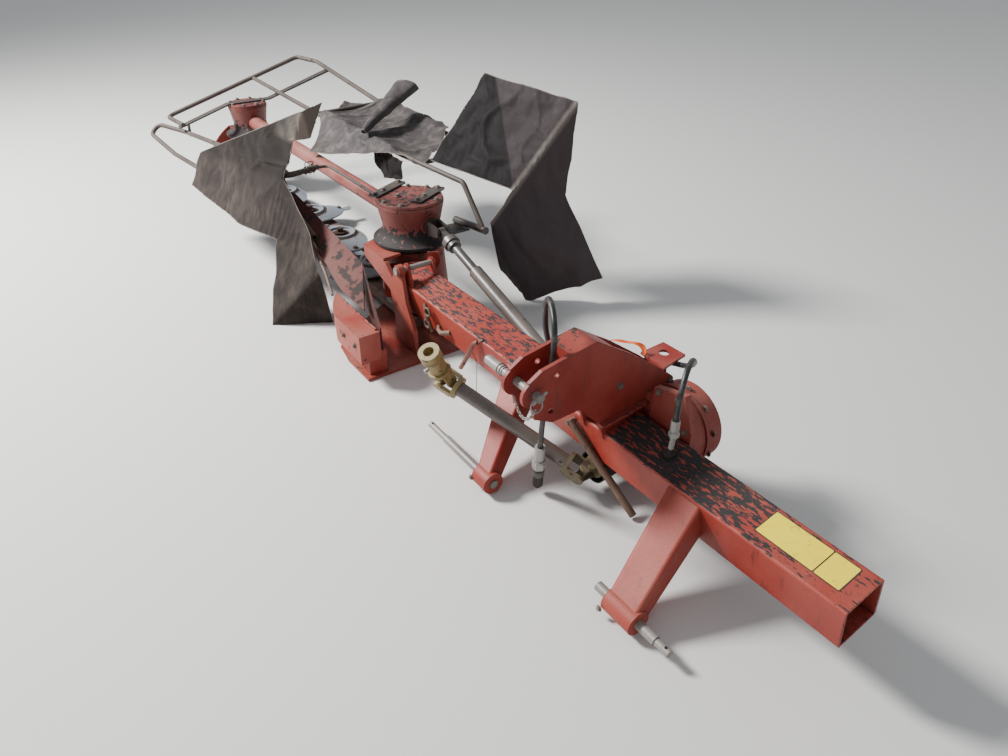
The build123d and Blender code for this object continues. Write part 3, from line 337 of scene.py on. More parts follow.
beam_paint = weathered(
    "beam_paint", Finish=(0.235, 0.017, 0.009), Faded=(0.30, 0.047, 0.030), Under=(0.008, 0.008, 0.010),
    Rust=(0.024, 0.018, 0.017), Stretch=(1.1, 3.6, 3.6), Chips=0.33, Edges=0.9, Dust=0.1, Metal=0.0
)
worn_where(beam_paint, beam_top, beam_near_top)
dress(beam_paint, "main_beam", "beam_end_plate")

# Weld beads where the legs, the mast and the end plate are joined to the beam: uneven ropes of filler
# metal painted over with the rest.
beam_middle = Vector((0.0, 0.172, 0.2275))
tilt = math.radians(10.9)
beam_up = Vector((0.0, math.sin(tilt), math.cos(tilt)))
beam_front = Vector((0.0, math.cos(tilt), -math.sin(tilt)))


def on_beam(x, front, up):
    """A point of the frame at x, so far in front of the beam's middle line and so far above it, as it tilts."""
    return beam_middle + Vector((x, 0, 0)) + beam_front * front + beam_up * up


def beam_route(*places):
    """Points of the frame, each given as on_beam takes it."""
    return [on_beam(*place) for place in places]


def select_only(piece):
    """The piece alone selected and active, for the operators that follow."""
    bpy.ops.object.select_all(action="DESELECT")
    bpy.context.view_layer.objects.active = piece
    piece.select_set(True)


def finished(piece, material, body="headstock"):
    """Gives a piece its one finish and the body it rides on."""
    piece.data.materials.clear()
    piece.data.materials.append(material)
    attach(piece, body)
    return piece


def tube_along(name, route, radius, material, body="headstock", uneven=0.0, order=2, closed=False):
    """A round bar or a bead of weld along a route, made a mesh with its place in it."""
    piece, run = round_curve(name, route, radius, order, 3, 6)
    for index, (point, place) in enumerate(zip(run.points, route)):
        point.radius = 1 + uneven * noise.noise(Vector(place) * 90 + Vector((index, 0, 0)))
    run.use_endpoint_u = not closed
    run.use_cyclic_u = closed
    select_only(piece)
    bpy.ops.object.convert(target="MESH")
    piece = bpy.context.object
    piece.name = name
    bpy.ops.object.shade_smooth()
    return finished(piece, material, body)


def weld(name, start, end, radius, body="headstock", steps=22):
    """A bead of weld between two points, its ripples at every few millimetres."""
    start, end = Vector(start), Vector(end)
    route = [start.lerp(end, step / steps) for step in range(steps + 1)]
    return tube_along(name, route, radius, beam_paint, body, uneven=0.5)


beam_half = 0.070
weld("right_leg_weld", on_beam(-1.842, beam_half, 0.045), on_beam(-1.726, beam_half, 0.045), 0.005)
weld("left_leg_weld", on_beam(-1.098, beam_half, 0.045), on_beam(-0.974, beam_half, 0.045), 0.005)
weld("mast_weld", (-1.4835, 0.020, 0.346), (-1.4835, 0.262, 0.321), 0.0045)
weld("ear_weld", (-0.2690, 0.145, 0.299), (-0.2690, 0.235, 0.282), 0.005)

# Panel on the beam: a thin yellow sticker in two fields with black borders, left blank, with its
# corners rounded and its face weathered.
panel_yellow = weathered(
    "panel_yellow", Finish=(0.80, 0.60, 0.006), Faded=(0.84, 0.66, 0.02), Under=(0.12, 0.09, 0.05), Chips=0.2,
    Edges=0.1, Dust=0.05, Metal=0.0
)
panel_black = weathered(
    "panel_black", Finish=(0.012, 0.012, 0.012), Faded=(0.03, 0.03, 0.03), Chips=0.2, Edges=0.1, Dust=0.15, Metal=0.0,
)
panel_fields = ((-2.216, -2.144), (-2.146, -1.979))
panel_fronts = (-0.0545, 0.0325)


def joined(pieces, name, smooth=True):
    """Several modelled bits made one piece, with its place in its mesh."""
    bpy.ops.object.select_all(action="DESELECT")
    for bit in pieces:
        bit.select_set(True)
    bpy.context.view_layer.objects.active = pieces[0]
    bpy.ops.object.join()
    bpy.ops.object.transform_apply(location=True, rotation=True, scale=True)
    piece = bpy.context.object
    piece.name = name
    if smooth:
        bpy.ops.object.shade_smooth()
    return piece


def applied(piece, kind, **settings):
    """Puts a modifier with its settings on the active piece and applies it."""
    step = piece.modifiers.new(kind, kind)
    for key, value in settings.items():
        setattr(step, key, value)
    bpy.ops.object.modifier_apply(modifier=step.name)


fields = []
for start_x, end_x in panel_fields:
    middle = on_beam((start_x + end_x) / 2, sum(panel_fronts) / 2, beam_half + 0.0004)
    bpy.ops.mesh.primitive_plane_add(size=1, location=middle, rotation=(-tilt, 0, 0))
    field = bpy.context.object
    field.scale = (end_x - start_x, panel_fronts[1] - panel_fronts[0], 1)
    bpy.ops.object.transform_apply(location=False, rotation=False, scale=True)
    bpy.ops.object.mode_set(mode="EDIT")
    bpy.ops.mesh.select_all(action="SELECT")
    bpy.ops.mesh.bevel(offset=0.006, segments=4, affect="VERTICES")
    bpy.ops.mesh.inset(thickness=0.0028, depth=0)
    bpy.ops.object.mode_set(mode="OBJECT")
    field.data.materials.append(panel_black)
    field.data.materials.append(panel_yellow)
    inner = max(field.data.polygons, key=lambda face: face.area)
    inner.material_index = 1
    fields.append(field)
blank_panel = joined(fields, "blank_panel", smooth=False)
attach(blank_panel, "headstock")
applied(blank_panel, "SOLIDIFY", thickness=0.0004, offset=1)

# Hose fittings: a black pipe elbow in the beam's hole, and on the hose a bright crimped ferrule and nut.
# The other end is a plated ferrule and hexagon on a dark coupler.
plated = weathered(
    "plated_steel", Finish=(0.25, 0.24, 0.225), Faded=(0.34, 0.325, 0.30), Under=(0.10, 0.065, 0.045), Chips=0.34,
    Edges=0.4, Dust=0.3, Gloss=0.3, Metal=0.5, specular=0.8,
)
coupler_dark = weathered(
    "coupler_steel", Finish=(0.07, 0.062, 0.056), Faded=(0.15, 0.13, 0.11), Under=(0.06, 0.035, 0.02), Chips=0.4,
    Edges=0.6, Dust=0.35,
)
crease_angle = math.radians(35)


def from_shape(name, shape):
    """A piece made of a finished bmesh."""
    mesh = bpy.data.meshes.new(name)
    shape.to_mesh(mesh)
    shape.free()
    return placed(name, mesh)


def skinned(name, rows, ring=False):
    """A piece of faces between rows of points; rings are closed round and capped at both ends."""
    shape = bmesh.new()
    rows = [[shape.verts.new(point) for point in row] for row in rows]
    count = len(rows[0])
    for low, high in zip(rows, rows[1:]):
        for step in range(count if ring else count - 1):
            after = (step + 1) % count
            shape.faces.new((low[step], low[after], high[after], high[step]))
    if ring:
        shape.faces.new(rows[0][::-1])
        shape.faces.new(rows[-1])
        bmesh.ops.recalc_face_normals(shape, faces=shape.faces[:])
    return from_shape(name, shape)


def turned_part(name, start, way, outline, material, sides=24, body="headstock"):
    """A turned part: rings of given radius set along a way from its start, joined and closed."""
    start, way = Vector(start), Vector(way).normalized()
    turn = way.to_track_quat("Z", "Y")
    rings = []
    for at, radius in outline:
        ring = []
        for step in range(sides):
            angle = math.tau * step / sides
            flat = turn @ Vector((radius * math.cos(angle), radius * math.sin(angle), 0))
            ring.append(start + way * at + flat)
        rings.append(ring)
    piece = skinned(name, rings, ring=True)
    select_only(piece)
    bpy.ops.object.shade_smooth_by_angle(angle=crease_angle)
    return finished(piece, material, body)


def ribbed(first, last, start, pitch, radius, groove, count):
    """The outline of a crimped sleeve: its first rings, its ribs and the grooves between, its last ring."""
    return [*first, *((start + pitch * step, radius - groove * (step % 2)) for step in range(count)), last]


hose_start = Vector(hose_route[0])
start_way = (hose_start - Vector(hose_route[1])).normalized()
hose_stop = Vector(hose_route[-1])
stop_way = (hose_stop - Vector(hose_route[-2])).normalized()
crimp = ribbed([(0.0, 0.0098), (0.001, 0.0125)], (0.032, 0.0125), 0.003, 0.0032, 0.0132, 0.0008, 9)
upper_ferrule = turned_part("hose_ferrule", hose_start, start_way, crimp, plated)
nut_rings = [(0, 0.0138), (0.0015, 0.0155), (0.0165, 0.0155), (0.018, 0.0138)]
upper_nut = turned_part("hose_nut", hose_start + start_way * 0.036, start_way, nut_rings, plated, sides=6)
crimped = ribbed([(0.0, 0.0100), (0.001, 0.0158)], (0.055, 0.0158), 0.005, 0.0045, 0.0168, 0.0011, 11)
lower_ferrule = turned_part("coupler_ferrule", hose_stop, stop_way, crimped, plated)
nut_rings = [(0, 0.0200), (0.002, 0.0225), (0.034, 0.0225), (0.036, 0.0200)]
lower_nut = turned_part("coupler_nut", hose_stop + stop_way * 0.068, stop_way, nut_rings, plated, sides=6)
sleeve_rings = ribbed([(0.118, 0.0166), (0.119, 0.0180)], (0.148, 0.0166), 0.121, 0.003, 0.0184, 0.0008, 9)
lower_sleeve = turned_part("coupler_sleeve", hose_stop, stop_way, sleeve_rings, coupler_dark)
ends_steel = weathered(
    "ends_steel", Finish=(0.25, 0.24, 0.225), Faded=(0.34, 0.325, 0.30), Under=(0.030, 0.026, 0.024),
    Rust=(0.045, 0.032, 0.026), Chips=0.3, Edges=0.4, Dust=0.3, Gloss=0.3, Metal=0.5
)


def dark_ends(tree, at):
    """The black pipe in the beam's hole and the dark coupler by the ground."""
    in_hole = times(tree, between(tree, at["Z"], 0.325, 0.315), between(tree, at["X"], -1.55, -1.60))
    return calc(tree, "MAXIMUM", in_hole, between(tree, at["Z"], 0.128, 0.122))


worn_where(ends_steel, dark_ends)
dress(ends_steel, "hose_ends")

# Mast: two plates and a folded cap, darker than the beam, streaked by rain and worn bare on its cap.
def by_height(low, high, most):
    """A mask that grows from one height to another, and no further than most."""

    def mask(tree, at):
        return times(tree, between(tree, at["Z"], low, high), most)

    return mask


mast_paint = weathered(
    "mast_paint", Finish=(0.185, 0.012, 0.008), Faded=(0.27, 0.040, 0.027), Chips=0.36, Edges=0.95, Dust=0.12,
    Size=1.25
)
mast_cap = by_height(0.588, 0.600, 0.30)
worn_where(mast_paint, mast_cap)
dress(mast_paint, "mast")
bolt_steel = weathered(
    "bolt_steel", Finish=(0.085, 0.065, 0.052), Faded=(0.19, 0.15, 0.12), Under=(0.08, 0.035, 0.02), Chips=0.45,
    Edges=0.5, Dust=0.25, Size=2.0,
)
washer_high = 0.0022


def hex_bolts(name, places, across, high, body="headstock"):
    """Hexagon heads with a bevelled crown, each on its washer, at places given as a point and a way."""
    head_form = (6, across / 2, high, 0.12 * across, 2)
    washer_form = (20, 0.64 * across, washer_high, 0.0006, 1)
    bits = []
    for place, way in places:
        place, way = Vector(place), Vector(way).normalized()
        turn = way.to_track_quat("Z", "Y").to_euler()
        for sides, radius, depth, bevel, segments in (head_form, washer_form):
            bpy.ops.mesh.primitive_cylinder_add(
                vertices=sides, radius=radius, depth=depth, location=place + way * depth / 2, rotation=turn,
            )
            bits.append(bpy.context.object)
            applied(bits[-1], "BEVEL", width=bevel, segments=segments)
    piece = joined(bits, name, smooth=False)
    bpy.ops.object.shade_smooth_by_angle(angle=crease_angle)
    return finished(piece, bolt_steel, body)


near_face = -1.469
mast_places = [((near_face - 0.0005, 0.002, 0.372), (-1, 0, 0)), ((near_face, 0.209, 0.432), (-1, 0, 0))]
hex_bolts("mast_bolts", mast_places, 0.019, 0.009)

# Legs and pins: folded legs in a smoother, lighter red, with pins worn bright at their ends.
leg_paint = weathered(
    "leg_paint", Finish=(0.25, 0.021, 0.012), Faded=(0.32, 0.062, 0.040), Chips=0.24, Edges=0.85, Dust=0.14,
    Gloss=0.48
)
dress(leg_paint, "right_hitch_leg", "left_hitch_leg")
pin_steel = weathered(
    "pin_steel", Finish=(0.14, 0.125, 0.112), Faded=(0.24, 0.215, 0.19), Under=(0.085, 0.042, 0.028), Chips=0.42,
    Metal=0.5, Gloss=0.38, Dust=0.2, specular=0.8,
)
dress(pin_steel, "lower_pins", "top_link_pin", "hinge_pin")
leg_places = [((-1.789, 0.528, 0.030), (0, 1, 0.1)), ((-1.170, 0.524, 0.040), (0, 1, 0.1))]
hex_bolts("leg_boss_bolts", leg_places, 0.015, 0.007)


def torus(place, turn, major, minor, around=28, across=8):
    """A round ring of wire at a place."""
    bpy.ops.mesh.primitive_torus_add(
        location=place, rotation=turn, major_radius=major, minor_radius=minor, major_segments=around,
        minor_segments=across,
    )
    return bpy.context.object


grip_rings = [torus((-1.324 + 0.0125 * step, 0.509, 0.519), (0, math.pi / 2, 0), 0.0148, 0.0024) for step in range(2)]
finished(joined(grip_rings, "pin_grip_rings"), pin_steel)
linch_way = [(-1.4865, 0.486, 0.530), (-1.4865, 0.505, 0.521), (-1.4865, 0.532, 0.508)]
tube_along("linch_pin", linch_way, 0.0042, plated)
ring_middle, ring_radius = Vector((-1.4875, 0.519, 0.500)), 0.019
ring_route = []
for step in range(12):
    angle = math.tau * step / 12
    out = Vector((0.004 * math.sin(angle), ring_radius * math.cos(angle), ring_radius * math.sin(angle)))
    ring_route.append(ring_middle + out)
tube_along("linch_ring", ring_route, 0.0019, plated, order=3, closed=True)

# Chain of the top link pin: small plated links that hang between the plates from the far one to the ring.
links = []
chain_start, chain_end = Vector((-1.392, 0.520, 0.470)), Vector((-1.486, 0.524, 0.486))
link_count, chain_sag = 17, 0.045
for step in range(link_count):
    share = step / (link_count - 1)
    place = chain_start.lerp(chain_end, share) - Vector((0, 0, chain_sag * 4 * share * (1 - share)))
    slope = (chain_end - chain_start) - Vector((0, 0, chain_sag * 4 * (1 - 2 * share)))
    link = torus(place, (0, 0, 0), 0.0042, 0.0012, 14, 6)
    link.scale = (1.45, 1, 1)
    turn = slope.to_track_quat("X", "Z")
    link.rotation_mode = "QUATERNION"
    link.rotation_quaternion = turn @ Matrix.Rotation(math.pi / 2 * (step % 2), 4, "X").to_quaternion()
    links.append(link)
finished(joined(links, "pin_chain"), plated)

# Ribbon: a scrap of orange marking tape tied at the case's lug.
ribbon_orange, tree, tape_shader = new_material("ribbon_orange")
creases = noise_of(tree, object_spot(tree), 70.0, 4.0)
orange = blend_colour(tree, creases, (0.75, 0.085, 0.008, 1), (0.85, 0.17, 0.02, 1))
tree.links.new(orange, tape_shader.inputs["Base Color"])
tree.links.new(between(tree, creases, 0.3, 0.7, 0.35, 0.6), tape_shader.inputs["Roughness"])
tape_rows = (
    # middle of the tape, and half its width
    ((-1.392, 0.040, 0.432), 0.005),
    ((-1.372, 0.020, 0.446), 0.012),
    ((-1.352, 0.045, 0.458), 0.017),
    ((-1.330, 0.062, 0.452), 0.018),
    ((-1.305, 0.085, 0.462), 0.015),
    ((-1.282, 0.110, 0.452), 0.006),
)
rows = []
for (x, y, z), wide in tape_rows:
    rows.append([(x + 0.3 * side * wide, y + 0.75 * side * wide, z + 0.35 * abs(side) * wide) for side in (-1, 0, 1)])
ribbon = skinned("marker_ribbon", rows)
select_only(ribbon)
applied(ribbon, "SUBSURF", levels=3, render_levels=3)
applied(ribbon, "SOLIDIFY", thickness=0.0005, offset=0)
bpy.ops.object.shade_smooth()
finished(ribbon, ribbon_orange, "headstock")

# Bevel case behind the beam, a rough casting under thick paint, with bolts round its seam.
case_paint = weathered(
    "case_paint", Finish=(0.205, 0.015, 0.010), Faded=(0.28, 0.050, 0.034), Chips=0.3, Edges=0.6, Dust=0.3, Size=1.2
)
dress(case_paint, "drive_case")
seam_places = []
seams = ((-1.539, 0.262, 0.1265, (95, 130, 165, 200, 235)), (-1.400, 0.092, 0.080, (250, 300, 350)))
for x, z, radius, angles in seams:
    for turn in map(math.radians, angles):
        seam_places.append(((x + radius * math.cos(turn), 0.010, z + radius * math.sin(turn)), (0, -1, 0)))
flange_places = ((-1.640, 0.1085, 0.330), (-1.600, 0.1085, 0.418), (-1.530, 0.1085, 0.405))
seam_places += [(place, (0, 1, 0)) for place in flange_places]
hex_bolts("case_bolts", seam_places, 0.016, 0.008)

# Tractor shaft: a plain steel tube between two cast joints in ochre paint, resting on the left leg.
yoke_paint = weathered(
    "yoke_paint", Finish=(0.23, 0.165, 0.052), Faded=(0.32, 0.25, 0.11), Under=(0.05, 0.038, 0.028), Chips=0.5,
    Edges=0.7, Dust=0.45,
)
tube_steel = weathered(
    "tube_steel", Finish=(0.060, 0.046, 0.038), Faded=(0.125, 0.100, 0.083), Under=(0.046, 0.026, 0.019), Chips=0.42,
    Gloss=0.24, Dust=0.2, Metal=0.6, specular=0.7,
)
guard_plastic = weathered(
    "guard_plastic", Finish=(0.010, 0.010, 0.011), Faded=(0.025, 0.024, 0.024), Under=(0.04, 0.035, 0.03), Chips=0.25,
    Edges=0.4, Dust=0.3, Gloss=0.5, Metal=0.0
)
old_yoke = weathered(
    "old_yoke", Finish=(0.085, 0.066, 0.030), Faded=(0.14, 0.115, 0.062), Under=(0.022, 0.018, 0.014), Chips=0.62,
    Edges=0.7, Dust=0.55,
)
dress(yoke_paint, "pto_outer_yoke")
dress(old_yoke, "pto_inner_yoke")
dress(tube_steel, "pto_tube")
dress(guard_plastic, "input_guard")
yoke_start = Vector((-0.962, 0.4858, 0.2892))
yoke_way = Vector((-0.156, 0.425, 0.894)).normalized()
collar_rings = [
    (0, 0.0302), (0.002, 0.0350), (0.006, 0.0355), (0.009, 0.0335), (0.012, 0.0355), (0.016, 0.0350), (0.018, 0.0302),
]
turned_part(
    "yoke_collar", yoke_start + yoke_way * 0.112, yoke_way, collar_rings, yoke_paint, sides=32,
)
side_way = yoke_way.cross(Vector((1, 0, 0))).normalized()
lock_rings = [(0, 0.006), (0.013, 0.006), (0.014, 0.0075), (0.018, 0.0075), (0.0195, 0.005)]
turned_part("yoke_lock_pin", yoke_start + yoke_way * 0.088 + side_way * 0.024, side_way, lock_rings, plated, sides=16)

# Prop rod, a bar gone brown with rust, and the latch rod that leans on the beam's front edge with a
# twist of wire round it.
rusty_bar = weathered(
    "rusty_bar", Finish=(0.085, 0.046, 0.030), Faded=(0.17, 0.105, 0.070), Under=(0.040, 0.020, 0.014), Chips=0.5,
    Gloss=0.6, Dust=0.3,
)
dress(rusty_bar, "prop_rod")
latch_paint = weathered(
    "latch_paint", Finish=(0.13, 0.025, 0.017), Faded=(0.20, 0.075, 0.052), Under=(0.06, 0.028, 0.018), Chips=0.6,
    Edges=0.8, Dust=0.3,
)
latch_route = beam_route(
    (-0.812, 0.078, 0.062), (-0.800, 0.084, 0.060), (-0.776, 0.086, 0.030), (-0.744, 0.098, -0.030),
    (-0.712, 0.118, -0.085),
)
tube_along("latch_rod", latch_route, 0.0085, latch_paint, order=3)
eye_route = beam_route((-0.828, 0.062, 0.0725), (-0.812, 0.078, 0.062), (-0.802, 0.075, 0.050))
tube_along("latch_eye", eye_route, 0.0060, latch_paint, order=3)
wire_route = beam_route(
    (-0.800, 0.094, 0.050), (-0.790, 0.100, 0.020), (-0.795, 0.085, -0.020), (-0.800, 0.100, -0.060),
    (-0.840, 0.140, -0.120),
)
tube_along("latch_wire", wire_route, 0.0012, rusty_bar, order=3)

# Clamp on the beam's front near its end, which holds two rusty pipe ends and a bracket.
clamp_places = beam_route((-0.470, 0.088, 0.036), (-0.455, 0.094, -0.022))
clamp_rings = [torus(place, (math.pi / 2, 0.2, 0.1), 0.0165, 0.0050, across=10) for place in clamp_places]
finished(joined(clamp_rings, "clamp_rings"), rusty_bar)
bracket_way = beam_route(
    (-0.505, 0.0702, -0.020), (-0.530, 0.088, -0.018), (-0.560, 0.094, -0.016), (-0.590, 0.0702, -0.012),
)
tube_along("clamp_bracket", bracket_way, 0.0095, rusty_bar, uneven=0.3)
clamp_way = beam_route((-0.430, 0.0705, 0.050), (-0.455, 0.090, 0.010), (-0.470, 0.088, -0.055))
tube_along("clamp_bar", clamp_way, 0.008, rusty_bar, uneven=0.2)

# Cutter bar's drive shaft: a steel tube with a rod that slides in it as the bar lifts, and a greasy fork.
greasy = weathered(
    "greasy_steel", Finish=(0.014, 0.012, 0.011), Faded=(0.045, 0.034, 0.027), Under=(0.008, 0.007, 0.006), Chips=0.3,
    Gloss=0.30, Dust=0.22, specular=0.6,
)
slider_steel = weathered(
    "slider_steel", Finish=(0.024, 0.021, 0.020), Faded=(0.075, 0.067, 0.060), Under=(0.040, 0.026, 0.020),
    Chips=0.36, Gloss=0.26, Dust=0.2, Metal=0.5, specular=0.8,
)
dress(slider_steel, "shaft_slider")
dress(tube_steel, "shaft_tube")
dress(greasy, "head_fork", "curtain_hinge")

# Lift arm, ears and shoes: welded plate work that slides on the ground and is scraped to bare steel.
dress(beam_paint, "hinge_ears")
arm_paint = weathered(
    "arm_paint", Finish=(0.225, 0.020, 0.012), Faded=(0.31, 0.065, 0.042), Chips=0.46, Edges=1.0, Dust=0.35,
)
shoe_paint = weathered(
    "shoe_paint", Finish=(0.155, 0.014, 0.010), Faded=(0.225, 0.044, 0.031), Chips=0.56, Edges=1.0, Dust=0.4
)
dress(arm_paint, "lift_arm", "inner_shoe")
dress(shoe_paint, "outer_shoe", "skid_shoes")
bar_paint = weathered(
    "bar_paint", Finish=(0.10, 0.030, 0.022), Faded=(0.16, 0.085, 0.065), Chips=0.65, Edges=0.8, Dust=0.6,
)
dress(bar_paint, "gear_case")
weld("shoe_weld", (-0.430, 0.467, 0.217), (-0.070, 0.4645, 0.217), 0.004, "cutter_bar", 40)
shoe_places = [
    ((-0.400, 0.5485, 0.160), (0, 1, 0)), ((-0.300, 0.5485, 0.160), (0, 1, 0)), ((-0.075, 0.20, 0.2145), (0, 0, 1)),
]
hex_bolts("shoe_bolts", shoe_places, 0.018, 0.009, "cutter_bar")

# Geared heads: round castings, their lids bolted down all round, rubbed pale on top, and their flared
# feet and waists black with grease and crop juice.
lid_top = by_height(0.534, 0.5395, 0.30)
head_foot = by_height(0.47, 0.40, 0.62)
lid_paint = weathered(
    "lid_paint", Finish=(0.115, 0.014, 0.011), Faded=(0.185, 0.047, 0.037), Under=(0.009, 0.008, 0.009),
    Rust=(0.020, 0.015, 0.014), Chips=0.44, Edges=1.0, Dust=0.12, Size=1.3, Metal=0.0
)
tube_paint = weathered(
    "tube_paint", Finish=(0.165, 0.021, 0.015), Faded=(0.27, 0.085, 0.066), Chips=0.42, Edges=0.7, Dust=0.3
)
worn_where(lid_paint, lid_top, head_foot)
dress(lid_paint, "near_gearbox", "far_gearbox")
dress(tube_paint, "top_tube")
dress(shoe_paint, "near_drum", "far_drum")
near_middle, far_middle = Vector((-0.029, 0.075, 0.540)), Vector((1.966, 0.075, 0.540))
lid_places = []
for middle, radius, count in ((near_middle, 0.124, 9), (far_middle, 0.096, 8)):
    for step in range(count):
        turn = math.tau * (step + 0.35) / count
        lid_places.append((middle + Vector((radius * math.cos(turn), radius * math.sin(turn), 0)), (0, 0, 1)))
near_bars = (((0.070, 0.135), (0.170, -0.055)), ((-0.090, 0.025), (0.010, -0.155)))
bar_top = Vector((0, 0, 0.008))
bar_places = []
for start, end in near_bars:
    for share in (0.10, 0.36, 0.90):
        flat = Vector(start).lerp(Vector(end), share)
        bar_places.append((near_middle + Vector((flat.x, flat.y, 0)) + bar_top, (0, 0, 1)))


def clear_of_bars(place, room=0.038):
    """Whether a lid's bolt stands clear of the flat bars across the near lid."""
    bars = [[near_middle + Vector((*end, 0)) for end in bar] for bar in near_bars]
    return all(line_gap(place, *bar) > room for bar in bars)


def line_gap(point, start, end):
    """How far the point is from the straight line between two others."""
    start, end = Vector(start), Vector(end)
    share = (point - start).dot(end - start) / (end - start).length_squared
    return (point - start.lerp(end, min(1.0, max(0.0, share)))).length


hex_bolts("lid_bolts", [row for row in lid_places if clear_of_bars(row[0])], 0.019, 0.010, "cutter_bar")
hex_bolts("bar_bolts", bar_places, 0.019, 0.011, "cutter_bar")
plug_rings = [(0, 0.013), (0.004, 0.013), (0.005, 0.010), (0.012, 0.0095), (0.013, 0.007)]
plug_place = near_middle + Vector((0.020, 0.045, 0))
turned_part("lid_plug", plug_place, (0, 0, 1), plug_rings, bolt_steel, sides=12, body="cutter_bar")

# Discs: pressed oval dishes, polished by the crop to a dull blue grey, with a dark groove round each hub.
disc_pitch, disc_y, disc_top, blade_reach = 0.399, 0.075, 0.0868, 0.170
for index in range(1, 7):
    middle_x = -0.029 + disc_pitch * (index - 1)
    disc_steel = weathered(
        f"disc_steel_{index}", Finish=(0.155, 0.175, 0.205), Faded=(0.27, 0.29, 0.315), Under=(0.050, 0.042, 0.038),
        Chips=0.34, Edges=0.6, Dust=0.3, Gloss=0.36, Metal=0.6
    )

    def groove(tree, at, middle_x=middle_x):
        """The dirt that packs round the hub's raised ring."""
        over = calc(tree, "SUBTRACT", at["X"], middle_x)
        along_y = calc(tree, "SUBTRACT", at["Y"], disc_y)
        out = calc(tree, "SQRT", calc(tree, "ADD", times(tree, over, over), times(tree, along_y, along_y)))
        ring = times(tree, between(tree, out, 0.076, 0.082), between(tree, out, 0.100, 0.091))
        return times(tree, calc(tree, "MAXIMUM", ring, between(tree, out, 0.052, 0.046)), 0.9)

    worn_where(disc_steel, groove)
    dress(disc_steel, f"disc_{index}")
    turn = 0 if index % 2 else math.pi / 2
    blade_places = []
    for reach in (-blade_reach, blade_reach):
        place = (middle_x + reach * math.cos(turn), disc_y + reach * math.sin(turn), disc_top)
        blade_places.append((place, (0, 0, 1)))
    hex_bolts(f"disc_{index}_blade_bolts", blade_places, 0.024, 0.012, f"disc_{index}")

# Front cover and the notched hinge tube along it, and the thin black rod down to the shoe's nose.
cover_paint = weathered(
    "cover_paint", Finish=(0.072, 0.010, 0.008), Faded=(0.105, 0.023, 0.018), Under=(0.020, 0.017, 0.017),
    Rust=(0.034, 0.021, 0.018), Chips=0.72, Edges=1.0, Dust=0.12, Size=0.6, Gloss=0.7, Metal=0.0
)
dress(cover_paint, "front_cover")
dress(rusty_bar, "cover_tube")

# Curtain frames: bent steel tube, bare and brown, and the flat bars on the lids that carry them.
frame_steel = weathered(
    "frame_steel", Finish=(0.042, 0.030, 0.024), Faded=(0.078, 0.060, 0.049), Under=(0.020, 0.014, 0.011), Chips=0.5,
    Gloss=0.50, Dust=0.15
)
dress(frame_steel, "front_frame", "rear_frame")
tie_wire = []
tie_way = Vector((-0.051, 0.180, 0)).normalized()
for step in range(5):
    lean = Vector((0.35 * math.sin(2.3 * step), 0, 0.30 * math.cos(3.1 * step)))
    place = Vector((0.506, 0.250, 0.556)) + tie_way * (0.022 + 0.011 * step)
    turn = (tie_way + lean).to_track_quat("Z", "Y").to_euler()
    tie_wire.append(torus(place, turn, 0.0165 + 0.001 * (step % 2), 0.0026))
finished(joined(tie_wire, "tube_end_ties"), greasy, "cutter_bar")
tie_tail = [
    (0.497, 0.282, 0.573), (0.478, 0.268, 0.590), (0.470, 0.300, 0.600), (0.500, 0.318, 0.585), (0.512, 0.300, 0.560),
    (0.500, 0.270, 0.532),
]
tube_along("tie_tail", tie_tail, 0.0022, greasy, "cutter_bar", order=4)
dress(greasy, "lid_bars")

# Canvas curtains: sheets of rubber coated canvas, stiff with age, hung over the tubes and creased where
# they were folded for transport. Each is laid out in panels as its CAD sheet is, dented along old folds,
# and then settled by a short cloth simulation that holds it where the tubes do.
cloth_inputs = (
    ("Coat", "Color", (0.055, 0.042, 0.039, 1)),
    ("Rubbed", "Color", (0.150, 0.122, 0.110, 1)),
    ("Soil", "Color", (0.26, 0.20, 0.15, 1)),
    ("Soiled", "Float", 0.4),
)
cloth_outputs = (("Color", "Color"), ("Roughness", "Float"), ("Normal", "Vector"))
cloth_look = look_group("cloth_look", cloth_inputs, cloth_outputs)
tree = cloth_look
given = tree.nodes.new("NodeGroupInput").outputs
spot = object_spot(tree)
broad = noise_of(tree, spot, 3.6, 5.0, 0.6)
blotches = noise_of(tree, spot, 15.0, 7.0, 0.66)
grain = noise_of(tree, spot, 260.0, 3.0, 0.6)
down = place_node(tree, "Mapping", {"Vector": spot, "Scale": (1.0, 1.0, 0.09)}).outputs[0]
drips = noise_of(tree, down, 38.0, 6.0)
# The ridges of the folds take the pale colour partly as rubbed wear and partly as a painted highlight where light
# would catch them; the blotches take it as wear.
ridges = place_node(tree, "NewGeometry").outputs["Pointiness"]
lit_and_rubbed_ridges = between(tree, ridges, 0.515, 0.60, 0.0, 0.8)
in_blotches = between(tree, blotches, 0.50, 0.74, 0.0, 0.55)
rubbed_and_lit_share = calc(tree, "MAXIMUM", lit_and_rubbed_ridges, in_blotches)
coated = blend_colour(tree, rubbed_and_lit_share, given["Coat"], given["Rubbed"])
soil_share = times(tree, between(tree, broad, 0.36, 0.68), between(tree, drips, 0.32, 0.72))
soil_share = times(tree, soil_share, given["Soiled"])
soiled = blend_colour(tree, soil_share, coated, given["Soil"])
final = blend_colour(tree, between(tree, drips, 0.60, 0.78, 0.0, 0.45), soiled, given["Coat"])
weave = place_node(tree, "TexVoronoi", {"Vector": spot, "Scale": 420.0}).outputs["Distance"]
grainy = calc(tree, "MULTIPLY_ADD", weave, 0.35, grain)
cloth_bump = place_node(tree, "Bump", {"Strength": 0.32, "Distance": 0.0012, "Height": grainy})
taken = tree.nodes.new("NodeGroupOutput").inputs
tree.links.new(final, taken["Color"])
matt = between(tree, calc(tree, "ADD", blotches, soil_share), 0.3, 1.2, 0.66, 0.92)
tree.links.new(matt, taken["Roughness"])
tree.links.new(cloth_bump.outputs["Normal"], taken["Normal"])


